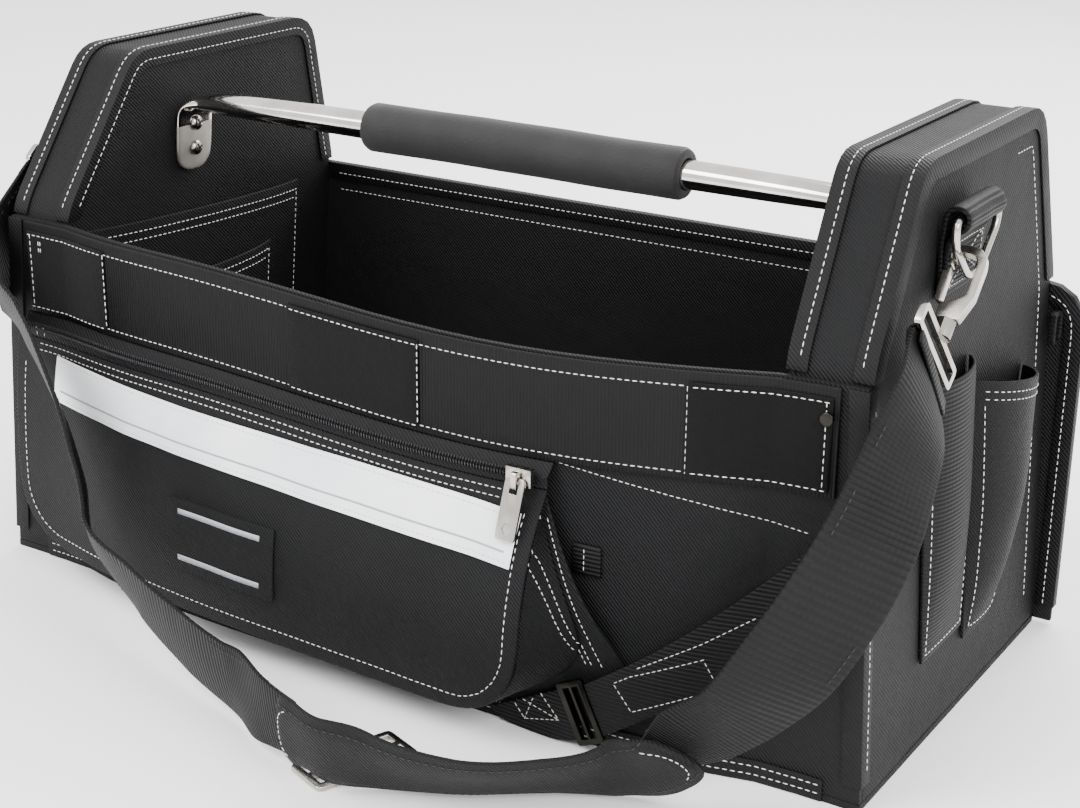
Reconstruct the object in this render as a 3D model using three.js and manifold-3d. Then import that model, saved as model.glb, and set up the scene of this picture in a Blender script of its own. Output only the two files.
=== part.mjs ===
// Open top tool tote of black twill, with two tall end towers, a tube handle, a zipped front pocket and a
// webbing shoulder strap. Millimetres. The origin is the middle of the base's underside, on the floor.
// +X runs along the length to the right, +Y to the back and +Z up.
import * as THREE from 'three';
import { mergeVertices } from 'three/addons/utils/BufferGeometryUtils.js';
import Module from 'manifold-3d';

const wasm = await Module();
wasm.setup();

// Driving dimensions of the bag
const bagLength = 524;
const bagDepth = 244;
const towerHeight = 297;
const towerThickness = 40;
const towerTopFront = -64;
const towerTopBack = 92;
const wall = 3;
const gap = 0.3;
const baseThickness = 4;
const frontTop = 209;
const frontSag = 9;
const sagCentre = 60;
const sagReach = 200;
const frontBow = 16;
const backTop = 197;
const wingReach = 20;
const wingRadius = 26;
const bindingWidth = 9;
const bindingThickness = 1;

// How far the foot of each soft tower stands out past the length at the front wall's top
const towers = [
  { side: 'left', sign: -1, splay: 17 },
  { side: 'right', sign: 1, splay: 10 },
];

// Front band, patches and zip
const bandHeight = 54;
const bandMargin = 12;
const bandThickness = 2;
const patchThickness = 1.4;
const patchMargin = 6;
const rivetInset = 4.5;
const rivetDrop = 9.5;
const patchEnd = bagLength / 2 - 15;
const patchLength = 66;
const patches = [
  { name: 'patch_left', from: -patchEnd, to: -patchEnd + patchLength },
  { name: 'patch_middle', from: -47 * patchEnd / 247, to: 34 * patchEnd / 247 },
  { name: 'patch_right', from: patchEnd - patchLength - 1, to: patchEnd },
];
const zipHeight = 12;
const zipThickness = 1.6;
const coilThickness = 1.8;

// Zip pocket and the saw sleeve behind it
const pocketLeft = -256;
const pocketRight = 112;
const pocketBottom = 19;
const pocketRadius = 38;
const pocketCloth = 2;
const pocketTopDepth = 8;
const pocketLeftDepth = 16;
const pocketRightDepth = 36;
const sleeveSlot = 8;
const sleeveBottom = 14;
const sleeveRise = 30;
const rootRise = 12;
const sleeveSeamTop = 104;
const sleeveSeamBottom = 150;
const stripeHeight = 25;
const stripeLeftZ = 123;
const stripeRightZ = 111;
const stripeThickness = 0.6;
const labelCentreX = -80;
const labelCentreZ = 64;
const labelWidth = 78;
const labelHeight = 40;
const labelThickness = 1;
const sliderX = 99;
const sliderWidth = 14;
const sliderHeight = 9;
const sliderThickness = 4;
const crownReach = 4.6;
const crownWall = 1.5;
const crownWidth = 3;
const pullLength = 30;
const pullWidth = 11;
const pullThickness = 1.5;

// Saw strap at the lower right
const sawStrapWidth = 28;
const sawStrapThickness = 2;
const sawRingLength = 34;
const sawRingWidth = 15;
const sawRingWire = 3;

// Handle
const handleY = -16;
const handleZ = towerHeight - 34;
const tubeDiameter = 16;
const gripDiameter = 27;
const gripLength = 198;
const gripCentreX = 14;
const plateWidth = 30;
const plateHeight = 42;
const plateThickness = 3;
const screwDiameter = 9;
const screwHead = 2.6;
const screwDrops = [14, 29];

// Strap hardware on both ends
const ringCentreY = -27;
const ringTopZ = towerHeight - 27;
const ringInner = 50;
const ringDrop = 30;
const ringWire = 4;
const ringStandoff = 9.5;
const tabWidth = 46;
const tabLength = 42;
const tabThickness = 2.5;
const hookLength = 38;
const hookWidth = 19;
const hookWall = 4;
const hookOffset = 3;
const hookThickness = 5;
const hookPull = 45;
const swivelLength = 9;
const loopWidth = 50;
const loopWire = 3;

// Shoulder strap
const webbingWidth = 50;
const webbingThickness = 2;
const padThickness = 7;
const floorRest = 0.4;

// Pockets on the tower faces
const pouchCloth = 2;

const half = bagLength / 2;
const innerHalf = half - towerThickness;
const backFace = bagDepth / 2;
const towerFront = -(bagDepth / 2 - wall - gap);
const towerBack = bagDepth / 2 - wall - gap;
const floorTop = baseThickness + gap;

const group = new THREE.Group();

// Colours and finishes
function finish(color, roughness, metalness) {
  return new THREE.MeshStandardMaterial({ color, roughness, metalness });
}
const twill = finish(0x1d1d1f, 0.9, 0);
const webbing = finish(0x17171a, 0.85, 0);
const tape = finish(0x232326, 0.9, 0);
const plush = finish(0x111114, 1, 0);
const reflective = finish(0xeef1f4, 0.45, 0);
const foam = finish(0x2b2c2f, 0.95, 0);
const chrome = finish(0xc9c9cc, 0.15, 1);
const nickel = finish(0xa9a6a0, 0.3, 1);

// Geometry helpers

// Merges shared corners and turns the faces outwards
function tidy(geometry) {
  const bare = geometry.index ? geometry.toNonIndexed() : geometry.clone();
  bare.deleteAttribute('normal');
  bare.deleteAttribute('uv');
  const merged = mergeVertices(bare, 1e-4);
  const p = merged.attributes.position;
  const index = Array.from(merged.index.array);
  const kept = [];
  let volume = 0;
  const a = new THREE.Vector3();
  const b = new THREE.Vector3();
  const c = new THREE.Vector3();
  for (let i = 0; i < index.length; i += 3) {
    const [i0, i1, i2] = index.slice(i, i + 3);
    if (i0 === i1 || i1 === i2 || i2 === i0) continue;
    a.fromBufferAttribute(p, i0);
    b.fromBufferAttribute(p, i1);
    c.fromBufferAttribute(p, i2);
    volume += a.dot(b.cross(c));
    kept.push(i0, i1, i2);
  }
  if (volume < 0) {
    for (let i = 0; i < kept.length; i += 3) [kept[i + 1], kept[i + 2]] = [kept[i + 2], kept[i + 1]];
  }
  merged.setIndex(kept);
  return merged;
}

function toSolid(geometry) {
  const closed = tidy(geometry);
  return new wasm.Manifold(new wasm.Mesh({
    numProp: 3,
    vertProperties: Float32Array.from(closed.attributes.position.array),
    triVerts: Uint32Array.from(closed.index.array),
  }));
}

function toGeometry(solid) {
  const mesh = solid.getMesh();
  const geometry = new THREE.BufferGeometry();
  geometry.setAttribute('position', new THREE.BufferAttribute(Float32Array.from(mesh.vertProperties), 3));
  geometry.setIndex(new THREE.BufferAttribute(Uint32Array.from(mesh.triVerts), 1));
  return geometry;
}

function add(name, geometry, material, warp) {
  const closed = tidy(geometry);
  if (warp) moveVertices(closed, warp);
  closed.computeVertexNormals();
  const mesh = new THREE.Mesh(closed, material);
  mesh.name = name;
  group.add(mesh);
  return mesh;
}

function moveVertices(geometry, map) {
  const p = geometry.attributes.position;
  const v = new THREE.Vector3();
  for (let i = 0; i < p.count; i += 1) {
    v.fromBufferAttribute(p, i);
    map(v);
    p.setXYZ(i, v.x, v.y, v.z);
  }
}

// A box of the given divisions whose corners run 0 to 1 on each side, bent by map(u, v, w) into place
function bentBox(divisions, map) {
  const box = new THREE.BoxGeometry(1, 1, 1, divisions.u, divisions.v, divisions.w);
  moveVertices(box, (v) => v.copy(map(v.x + 0.5, v.y + 0.5, v.z + 0.5)));
  return box;
}

// An outline in the YZ plane pushed along X from x0 to x1
function slabAlongX(shape, x0, x1) {
  const slab = new THREE.ExtrudeGeometry(shape, { depth: x1 - x0, bevelEnabled: false, curveSegments: 5 });
  slab.applyMatrix4(new THREE.Matrix4().set(0, 0, 1, x0, 1, 0, 0, 0, 0, 1, 0, 0, 0, 0, 0, 1));
  return slab;
}

// An outline in the XZ plane pushed along Y from y0 to y1
function slabAlongY(shape, y0, y1) {
  const slab = new THREE.ExtrudeGeometry(shape, { depth: y1 - y0, bevelEnabled: false, curveSegments: 5 });
  slab.applyMatrix4(new THREE.Matrix4().set(1, 0, 0, 0, 0, 0, -1, y1, 0, 1, 0, 0, 0, 0, 0, 1));
  return slab;
}

// A closed outline whose corners are rounded by short arcs, each corner moved in by inset
function roundedShape(corners, inset = 0, arcSteps = 4) {
  const n = corners.length;
  const point = (k) => new THREE.Vector2(corners[(k + n) % n].a, corners[(k + n) % n].b);
  const moved = corners.map((corner, k) => {
    const into = point(k).sub(point(k - 1)).normalize();
    const out = point(k + 1).sub(point(k)).normalize();
    const sum = new THREE.Vector2(-into.y - out.y, into.x + out.x);
    const scale = inset / (1 + into.dot(out));
    return point(k).add(sum.multiplyScalar(scale));
  });
  const points = [];
  moved.forEach((corner, k) => {
    const before = moved[(k + n - 1) % n].clone().sub(corner);
    const after = moved[(k + 1) % n].clone().sub(corner);
    const radius = Math.max(corners[k].r - inset, 0);
    if (radius < 0.01) {
      points.push(corner);
      return;
    }
    const turn = Math.PI - Math.acos(before.clone().normalize().dot(after.clone().normalize()));
    const reach = Math.min(radius * Math.tan(turn / 2), before.length() * 0.49, after.length() * 0.49);
    const start = corner.clone().add(before.setLength(reach));
    const end = corner.clone().add(after.setLength(reach));
    const curve = new THREE.QuadraticBezierCurve(start, corner, end);
    points.push(...curve.getPoints(arcSteps));
  });
  return new THREE.Shape(points);
}

function ellipse(x, y, rx, ry) {
  const outline = new THREE.Shape();
  outline.absellipse(x, y, rx, ry, 0, Math.PI * 2, false);
  return outline;
}

function rectangle(x0, y0, x1, y1, r = 0) {
  return roundedShape([
    { a: x0, b: y0, r }, { a: x1, b: y0, r }, { a: x1, b: y1, r }, { a: x0, b: y1, r },
  ], 0, 3);
}

// A flat plate in the XY plane, centred on z = 0, with holes cut through it
function piercedPlate(shape, holes, thickness) {
  const push = (outline, depth) => toSolid(new THREE.ExtrudeGeometry(outline,
    { depth, bevelEnabled: false, curveSegments: 3 }).translate(0, 0, -depth / 2));
  let plate = push(shape, thickness);
  for (const hole of holes) plate = plate.subtract(push(hole, 3 * thickness));
  return toGeometry(plate);
}

// A flat closed band of webbing along a table of stations, each with its middle and its edge direction
function ribbon(stations, width, thickness, steps) {
  const middle = new THREE.CatmullRomCurve3(stations.map((s) => new THREE.Vector3(s.x, s.y, s.z)));
  const edges = new THREE.CatmullRomCurve3(stations.map((s) => new THREE.Vector3(s.ex, s.ey, s.ez)));
  const count = stations.length - 1;
  return bentBox({ u: steps, v: 1, w: 2 }, (u, v, w) => {
    const share = Math.min(Math.max(u, 0), 1);
    const centre = middle.getPoint(share);
    const tangent = middle.getTangent(share);
    const edge = edges.getPoint(share);
    edge.addScaledVector(tangent, -edge.dot(tangent)).normalize();
    const face = new THREE.Vector3().crossVectors(tangent, edge).normalize();
    const station = stations[Math.round(share * count)];
    const across = station.width ?? width;
    centre.addScaledVector(edge, (w - 0.5) * across).addScaledVector(face, (v - 0.5) * thickness);
    centre.z = Math.max(centre.z, floorRest + v * thickness * 0.5);
    return centre;
  });
}

// The form of the front wall

// The bow is worked out at even stations and runs straight between them, so that sheets lie parallel
const bowStations = 24;
function stationX(k) {
  return mix(-half, half, k / bowStations);
}
function bowCurve(x) {
  const share = Math.min(Math.abs(x) / innerHalf, 1);
  return frontBow * (1 - share ** 4);
}
function bowAt(x) {
  const place = Math.min(Math.max((x + half) / bagLength, 0), 1) * bowStations;
  const k = Math.min(Math.floor(place), bowStations - 1);
  return mix(bowCurve(stationX(k)), bowCurve(stationX(k + 1)), place - k);
}
// The places along X where a sheet from x0 to x1 bends
function bends(x0, x1) {
  const between = [];
  for (let k = 1; k < bowStations; k += 1) {
    if (stationX(k) > x0 + 1 && stationX(k) < x1 - 1) between.push(stationX(k));
  }
  return [x0, ...between, x1];
}
function frontFaceAt(x) {
  return -bagDepth / 2 - bowAt(x);
}
function frontTopAt(x) {
  const share = Math.min(Math.abs(x - sagCentre) / sagReach, 1);
  return frontTop - frontSag * Math.cos(share * Math.PI / 2) ** 2;
}
function bandBottomAt(x) {
  return frontTopAt(x) - bandHeight;
}
function mix(a, b, share) {
  return a + (b - a) * share;
}

// Base and walls

// Where the end of the bag stands at a height
function endAt(tower, z) {
  return tower.sign * (half + tower.splay * (1 - z / frontTop));
}

function basePanel() {
  const [left, right] = towers.map((tower) => endAt(tower, 0));
  const points = [new THREE.Vector2(right, towerBack), new THREE.Vector2(left, towerBack),
    new THREE.Vector2(left, frontFaceAt(-half))];
  for (const x of bends(-half, half).slice(1, -1)) points.push(new THREE.Vector2(x, frontFaceAt(x)));
  points.push(new THREE.Vector2(right, frontFaceAt(half)));
  add('base_panel', new THREE.ExtrudeGeometry(new THREE.Shape(points),
    { depth: baseThickness, bevelEnabled: false }), twill);
}

function frontWall() {
  const xs = bends(-half, half);
  const last = xs.length - 1;
  add('front_wall', bentBox({ u: last, v: 1, w: 3 }, (u, v, w) => {
    const k = Math.round(u * last);
    const z = mix(floorTop, frontTopAt(xs[k]), w);
    let x = xs[k];
    if (k === 0) x = endAt(towers[0], z);
    if (k === last) x = endAt(towers[1], z);
    return new THREE.Vector3(x, frontFaceAt(xs[k]) + v * wall, z);
  }), twill);
}

const wingEnd = half + wingReach;
const backOutline = [
  { a: -wingEnd, b: 2, r: 0 }, { a: wingEnd, b: 2, r: 0 },
  { a: wingEnd, b: backTop, r: wingRadius }, { a: -wingEnd, b: backTop, r: wingRadius },
];

function backWall() {
  add('back_wall', slabAlongY(roundedShape(backOutline), backFace - wall, backFace), twill);
  const over = bindingThickness + gap;
  const ring = toSolid(slabAlongY(roundedShape(backOutline, -over), backFace - wall - over, backFace + over));
  const bite = toSolid(slabAlongY(roundedShape(backOutline, -gap), backFace - wall - gap, backFace + gap));
  const inside = roundedShape(backOutline, bindingWidth);
  const core = toSolid(slabAlongY(inside, backFace - 4 * wall, backFace + 4 * wall));
  const low = rectangle(-bagLength, -towerHeight, bagLength, 2.2 + bindingWidth);
  const foot = toSolid(slabAlongY(low, backFace - 4 * wall, backFace + 4 * wall));
  let strip = ring.subtract(bite).subtract(core).subtract(foot);
  for (const tower of towers) {
    const near = tower.sign * (innerHalf - gap);
    const far = (z) => endAt(tower, z) + tower.sign * gap;
    const corners = [
      { a: near, b: 0, r: 0 }, { a: far(0), b: 0, r: 0 },
      { a: far(frontTop), b: frontTop, r: 0 }, { a: near, b: frontTop, r: 0 },
    ];
    if (tower.sign < 0) corners.reverse();
    strip = strip.subtract(toSolid(slabAlongY(roundedShape(corners), 0, backFace - wall)));
  }
  add('back_binding', toGeometry(strip), tape);
}

function baseBinding() {
  const height = 12;
  const xs = bends(-half + bindingWidth, half - bindingWidth);
  add('base_binding', bentBox({ u: xs.length - 1, v: 1, w: 1 }, (u, v, w) => {
    const x = xs[Math.round(u * (xs.length - 1))];
    return new THREE.Vector3(x, frontFaceAt(x) - gap - (1 - v) * bindingThickness, mix(floorRest, height, w));
  }), tape);
}

// Towers

// The tower's outline in the YZ plane, as corners with the radius of each
const towerCorners = [
  { a: towerFront, b: floorTop, r: 0 },
  { a: towerBack, b: floorTop, r: 0 },
  { a: towerBack, b: backTop + 4, r: 50 },
  { a: towerTopBack, b: towerHeight, r: 22 },
  { a: towerTopFront, b: towerHeight, r: 22 },
  { a: towerFront, b: frontTop + 4, r: 40 },
];

function splayOf(tower) {
  return (v) => {
    v.x += tower.sign * tower.splay * (1 - v.z / frontTop);
  };
}

// Places a slab of the outline between two distances from the middle of the bag, on the tower's side
function towerSlab(tower, inset, near, far) {
  const shape = roundedShape(towerCorners, inset);
  return slabAlongX(shape, Math.min(tower.sign * near, tower.sign * far),
    Math.max(tower.sign * near, tower.sign * far));
}

function towerPanels(tower) {
  add(`${tower.side}_inner_panel`, towerSlab(tower, 0, innerHalf, innerHalf + wall), twill, splayOf(tower));
  add(`${tower.side}_outer_panel`, towerSlab(tower, 0, half - wall, half), twill, splayOf(tower));
  const near = innerHalf + wall + gap;
  const far = half - wall - gap;
  const strip = toSolid(towerSlab(tower, 0, near, far));
  const hollow = toSolid(towerSlab(tower, wall, near - 1, far + 1));
  const open = toSolid(slabAlongX(rectangle(towerFront + wall, 0, towerBack - wall, floorTop + 2 * wall),
    -bagLength, bagLength));
  add(`${tower.side}_gusset`, toGeometry(strip.subtract(hollow).subtract(open)), twill, splayOf(tower));
}

// L-shaped tape over one edge of a tower, above the walls
function towerBinding(tower, name, face, inward) {
  const over = bindingThickness + gap;
  const skin = toSolid(towerSlab(tower, -over, face - inward * over, face + inward * bindingWidth));
  const body = toSolid(towerSlab(tower, -gap, face - inward * gap, face + inward * (bindingWidth + 1)));
  const middle = toSolid(towerSlab(tower, bindingWidth, face - inward * 2 * over, face + inward * 2 * over));
  const low = toSolid(slabAlongX(rectangle(-2 * bagDepth, -50, 0, frontTop + 1), -bagLength, bagLength));
  const lowBack = toSolid(slabAlongX(rectangle(0, -50, 2 * bagDepth, backTop + 4), -bagLength, bagLength));
  const cut = skin.subtract(body).subtract(middle).subtract(low).subtract(lowBack);
  add(`${tower.side}_${name}_binding`, toGeometry(cut), tape, splayOf(tower));
}

// Tape folded round the vertical front corner
function cornerBinding(tower) {
  const over = bindingThickness + gap;
  const outside = tower.sign * (half + over);
  const inside = tower.sign * (half - bindingWidth);
  const front = -bagDepth / 2;
  const outer = toSolid(new THREE.BoxGeometry(Math.abs(outside - inside), bindingWidth + over, frontTop - 14)
    .translate((outside + inside) / 2, front - over + (bindingWidth + over) / 2, (frontTop - 14) / 2 + 13));
  const bite = toSolid(new THREE.BoxGeometry(bindingWidth * 2, bindingWidth * 2, frontTop * 2)
    .translate(tower.sign * (half + gap - bindingWidth), front - gap + bindingWidth, frontTop / 2));
  add(`${tower.side}_corner_binding`, toGeometry(outer.subtract(bite)), tape, splayOf(tower));
}

// Front band and patches

const bandEnd = half - bandMargin;

// A thin sheet on the front wall, from out0 to out1 in front of it, between two heights
function frontSheet(x0, x1, bottomAt, topAt, out0, out1) {
  const xs = bends(x0, x1);
  return bentBox({ u: xs.length - 1, v: 1, w: 1 }, (u, v, w) => {
    const x = xs[Math.round(u * (xs.length - 1))];
    return new THREE.Vector3(x, frontFaceAt(x) - mix(out1, out0, v), mix(bottomAt(x), topAt(x), w));
  });
}

function frontBand() {
  add('front_band', frontSheet(-bandEnd, bandEnd, bandBottomAt, (x) => frontTopAt(x) - 1,
    gap, gap + bandThickness), webbing);
  const out = bandThickness + 2 * gap;
  for (const patch of patches) {
    add(patch.name, frontSheet(patch.from, patch.to, (x) => bandBottomAt(x) + patchMargin / 2,
      (x) => frontTopAt(x) - patchMargin, out, out + patchThickness), plush);
  }
  const rivetX = bandEnd - rivetInset;
  const rivet = new THREE.CylinderGeometry(3.5, 3.5, 2, 12);
  rivet.translate(rivetX, 0, 0);
  rivet.translate(0, frontFaceAt(rivetX) - out - patchThickness - 1 - gap, frontTop - patchMargin - rivetDrop);
  add('front_rivet', rivet, nickel);
}

// Zip pocket

const zipEnd = sliderX + sliderWidth / 2;
const pocketMiddle = (pocketLeft + pocketRight) / 2;
const pocketHalf = (pocketRight - pocketLeft) / 2;

function pocketTopAt(x) {
  return bandBottomAt(x) - gap - zipHeight - gap;
}
// The lower edge, which turns up by a quarter round at both ends
function pocketBottomAt(x) {
  const past = Math.max(Math.abs(x - pocketMiddle) - (pocketHalf - pocketRadius), 0);
  const safe = Math.min(past, pocketRadius);
  return pocketBottom + pocketRadius - Math.sqrt(pocketRadius ** 2 - safe ** 2);
}
// The sleeve's lower edge, which rises to the right, clear of the saw strap
function sleeveBottomAt(x) {
  const past = Math.max(x - pocketRight / 2, 0) / (sleeveSeamBottom - pocketRight / 2);
  return sleeveBottom + sleeveRise * Math.min(past, 1) ** 2;
}
// How far the saw sleeve's sheet stands off the front wall
function slotAt(x, z) {
  const side = Math.min(Math.max((x + half) / (2 * innerHalf * 0.7), 0), 1);
  const top = Math.min(Math.max((bandBottomAt(x) - z) / (zipHeight * 4), 0), 1);
  const foot = Math.min(Math.max((z - sleeveBottomAt(x)) / pocketRadius, 0), 1);
  return 3 * gap + sleeveSlot * side * top * foot;
}
function sleeveOuterAt(x, z) {
  return slotAt(x, z) + pouchCloth;
}
// How far the pocket's face stands off the front wall
function pocketDepthAt(x, z) {
  const side = Math.min(Math.max((x - pocketLeft) / (pocketRight - pocketLeft), 0), 1);
  const height = Math.min(Math.max((z - pocketBottom) / (pocketTopAt(x) - pocketBottom), 0), 1);
  const belly = mix(pocketLeftDepth, pocketRightDepth, side ** 0.8);
  return pocketTopDepth + (belly - pocketTopDepth) * (1 - height ** 3);
}
function pocketFace(x, z, out) {
  return new THREE.Vector3(x, frontFaceAt(x) - pocketDepthAt(x, z) - out, z);
}

function zipPocketPanel() {
  add('zip_pocket_panel', bentBox({ u: 20, v: 1, w: 6 }, (u, v, w) => {
    const x = pocketMiddle - pocketHalf * Math.cos(u * Math.PI);
    const z = mix(pocketBottomAt(x), pocketTopAt(x), w);
    return pocketFace(x, z, -v * pocketCloth);
  }), twill);
}

function sleeveSeamAt(z) {
  const share = (pocketTopAt(pocketRight) - z) / (pocketTopAt(pocketRight) - pocketBottom);
  return mix(sleeveSeamTop, sleeveSeamBottom, share);
}

// The strip that joins the pocket's face to the sleeve's sheet, down the left, along the bottom and up
function zipPocketGusset() {
  const steps = 36;
  const edge = (share) => {
    const x = pocketMiddle - pocketHalf * Math.cos(Math.min(Math.max((share - 0.15) / 0.7, 0), 1) * Math.PI);
    const low = pocketBottomAt(x);
    const high = pocketTopAt(x) - pocketCloth;
    const rise = share < 0.15 ? 1 - share / 0.15 : Math.max((share - 0.85) / 0.15, 0);
    return new THREE.Vector2(x, mix(low, high, rise));
  };
  const inward = (share) => {
    const ahead = edge(Math.min(share + 0.004, 1));
    const behind = edge(Math.max(share - 0.004, 0));
    const along = ahead.sub(behind).normalize();
    return new THREE.Vector2(-along.y, along.x);
  };
  add('zip_pocket_gusset', bentBox({ u: steps, v: 1, w: 3 }, (u, v, w) => {
    const at = edge(u);
    const step = inward(u);
    const x = at.x + step.x * v * pocketCloth;
    const z = at.y + step.y * v * pocketCloth;
    const right = Math.max((x - pocketMiddle) / pocketHalf, 0) ** 6;
    const upright = pocketTopAt(pocketRight) - pocketBottom - pocketRadius;
    const straight = Math.min(Math.max((z - pocketBottom - pocketRadius) / upright, 0), 1);
    const rootZ = z + right * rootRise * (1 - straight);
    const seam = x + right * (sleeveSeamAt(rootZ) - pocketRight);
    const faceY = frontFaceAt(x) - pocketDepthAt(x, z) + pocketCloth + 3 * gap;
    const rootX = mix(x, seam, 1 - w);
    const rootY = frontFaceAt(seam) - sleeveOuterAt(seam, rootZ) - 3 * gap;
    return new THREE.Vector3(rootX, mix(rootY, faceY, w), mix(rootZ, z, w));
  }), twill);
}

function sawSleevePanel() {
  add('saw_sleeve_panel', bentBox({ u: 14, v: 1, w: 5 }, (u, v, w) => {
    const level = mix(sleeveBottom, pocketTopAt(pocketRight), w);
    const x = mix(-half + bindingWidth + 2, sleeveSeamAt(level) + 4, u);
    const z = mix(sleeveBottomAt(x), pocketTopAt(Math.max(x, pocketRight)), w);
    return new THREE.Vector3(x, frontFaceAt(x) - sleeveOuterAt(x, z) + v * pouchCloth, z);
  }), twill);
  const tabZ = 100;
  const tabX = sleeveSeamAt(tabZ) + 5;
  add('sleeve_tab', frontSheet(tabX, tabX + 15, () => tabZ - 8, () => tabZ + 8, gap, gap + 1.5), webbing);
}

function zipTape() {
  add('zip_tape', bentBox({ u: 16, v: 1, w: 4 }, (u, v, w) => {
    const x = mix(pocketLeft + 4, zipEnd + 6, u);
    const z = mix(pocketTopAt(x) + gap, bandBottomAt(x) - gap, w);
    const ridge = w === 0.5 ? coilThickness : 0;
    const out = mix(pocketDepthAt(x, pocketTopAt(x)), bandThickness + gap, w ** 2);
    return new THREE.Vector3(x, frontFaceAt(x) - out - (1 - v) * ridge + v * zipThickness, z);
  }), tape);
}

// The slider's body, with a small arch on it that holds the pull tab
const sliderZ = bandBottomAt(sliderX) - gap - zipHeight / 2;
const sliderBack = mix(pocketTopDepth, bandThickness + gap, 0.25) + coilThickness + 2 * gap;
const sliderY = frontFaceAt(sliderX) - sliderBack - sliderThickness / 2;
const crownZ = sliderZ - sliderHeight * 0.1;
const tunnel = 3;

function zipSlider() {
  const body = toSolid(new THREE.BoxGeometry(sliderWidth, sliderThickness, sliderHeight)
    .translate(sliderX, sliderY, sliderZ));
  const back = sliderY - sliderThickness / 2;
  const tall = tunnel + 2 * crownWall + 3;
  const archShape = rectangle(back - crownReach, crownZ - tall / 2, back + 1, crownZ + tall / 2, 1.5);
  const arch = toSolid(slabAlongX(archShape, sliderX - crownWidth / 2, sliderX + crownWidth / 2));
  const reach = tunnel / 2 + 1.5;
  const gapShape = rectangle(back - crownReach + crownWall, crownZ - reach, back, crownZ + reach);
  const opening = toSolid(slabAlongX(gapShape, sliderX - crownWidth, sliderX + crownWidth));
  const crown = arch.subtract(opening);
  add('zip_slider', toGeometry(body.add(crown)), nickel);
}

// The tab hangs by a bar that runs through the arch, and turns about that bar
const pullAxis = new THREE.Vector3(sliderX, sliderY - (sliderThickness + crownReach - crownWall) / 2, crownZ);

// The tab lies on the pocket's face, which slopes out below the zip
const pullFoot = frontFaceAt(sliderX) - pocketDepthAt(sliderX, crownZ - pullLength) - stripeThickness
  - pullThickness - 2 * gap;
const pullTilt = Math.asin((pullAxis.y - pullFoot) / pullLength);

function zipPull() {
  const bar = 1;
  const windowDrop = 7;
  const side = crownWidth / 2 + 0.8;
  const slab = piercedPlate(rectangle(-pullWidth / 2, -pullLength, pullWidth / 2, bar, 2.5), [
    rectangle(-side, -windowDrop, side, -bar, 0.5), ellipse(0, -pullLength + 6, 2.6, 3.2),
  ], pullThickness).rotateX(Math.PI / 2 - pullTilt);
  slab.translate(pullAxis.x, pullAxis.y, pullAxis.z);
  add('zip_pull', slab, nickel);
}

function stripeAndLabel() {
  const from = pocketLeft + 34;
  const to = pocketRight - 9;
  add('reflective_stripe', bentBox({ u: 14, v: 1, w: 2 }, (u, v, w) => {
    const x = mix(from, to, u);
    const z = mix(stripeLeftZ, stripeRightZ, u) + (w - 0.5) * stripeHeight;
    return pocketFace(x, z, gap + (1 - v) * stripeThickness);
  }), reflective);
  add('label_patch', bentBox({ u: 4, v: 1, w: 2 }, (u, v, w) => {
    const x = labelCentreX + (u - 0.5) * labelWidth;
    const z = labelCentreZ + (w - 0.5) * labelHeight;
    return pocketFace(x, z, gap + (1 - v) * labelThickness);
  }), plush);
}

// Saw strap: a short anchor on the base binding, a slotted ring and a strap up to the right corner

const sawRing = { x: 132, z: 20.5, tilt: 0.42 };

function sawStrapFrame(along, across, out) {
  const c = Math.cos(sawRing.tilt);
  const s = Math.sin(sawRing.tilt);
  const x = sawRing.x + along * c - across * s;
  const z = sawRing.z + along * s + across * c;
  return new THREE.Vector3(x, frontFaceAt(x) - out, z);
}

function sawStrap() {
  const reach = sawRingWidth / 2 + gap;
  const out = 7;
  const sewn = 2 * gap + bindingThickness + sawStrapThickness / 2;
  add('saw_strap_anchor', bentBox({ u: 4, v: 1, w: 1 }, (u, v, w) => {
    const p = sawStrapFrame(mix(-56, -reach, u), (w - 0.5) * sawStrapWidth * mix(0.7, 1, u),
      mix(sewn, out, u) + (0.5 - v) * sawStrapThickness);
    p.z = Math.max(p.z, floorRest);
    return p;
  }), webbing);
  const inner = sawRingWidth / 2 - sawRingWire;
  const inLength = sawRingLength / 2 - sawRingWire;
  const bar = sawRingWire / 4;
  const outline = rectangle(-sawRingWidth / 2, -sawRingLength / 2, sawRingWidth / 2, sawRingLength / 2, 2);
  const ring = piercedPlate(outline, [
    rectangle(-inner, -inLength, -bar, inLength), rectangle(bar, -inLength, inner, inLength),
  ], sawRingWire);
  add('saw_strap_ring', ring, nickel, (p) => p.copy(sawStrapFrame(p.x, p.y, out + p.z)));
  const rise = { x: half - bindingWidth - 4, z: 118 };
  const start = sawStrapFrame(reach, 0, out);
  add('saw_strap', bentBox({ u: 12, v: 1, w: 1 }, (u, v, w) => {
    const bend = mix(sawRing.tilt, 0.62, u);
    const span = Math.hypot(rise.x - start.x, rise.z - start.z);
    const straightX = mix(start.x, rise.x, u);
    const straightZ = mix(start.z, rise.z, u) - Math.sin(u * Math.PI) * span * 0.04;
    const across = (w - 0.5) * sawStrapWidth;
    const x = Math.min(straightX - Math.sin(bend) * across, half - bindingWidth - 1);
    const lift = mix(out, gap + sawStrapThickness / 2, u) + 4 * Math.sin(u * Math.PI);
    return new THREE.Vector3(x, frontFaceAt(x) - lift - (0.5 - v) * sawStrapThickness,
      straightZ + Math.cos(bend) * across);
  }), webbing);
}

// Handle

// The inner face of a tower at a height, as a distance from the middle of the bag
function innerFaceAt(tower, z) {
  const v = new THREE.Vector3(tower.sign * innerHalf, 0, z);
  splayOf(tower)(v);
  return v.x;
}

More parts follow.
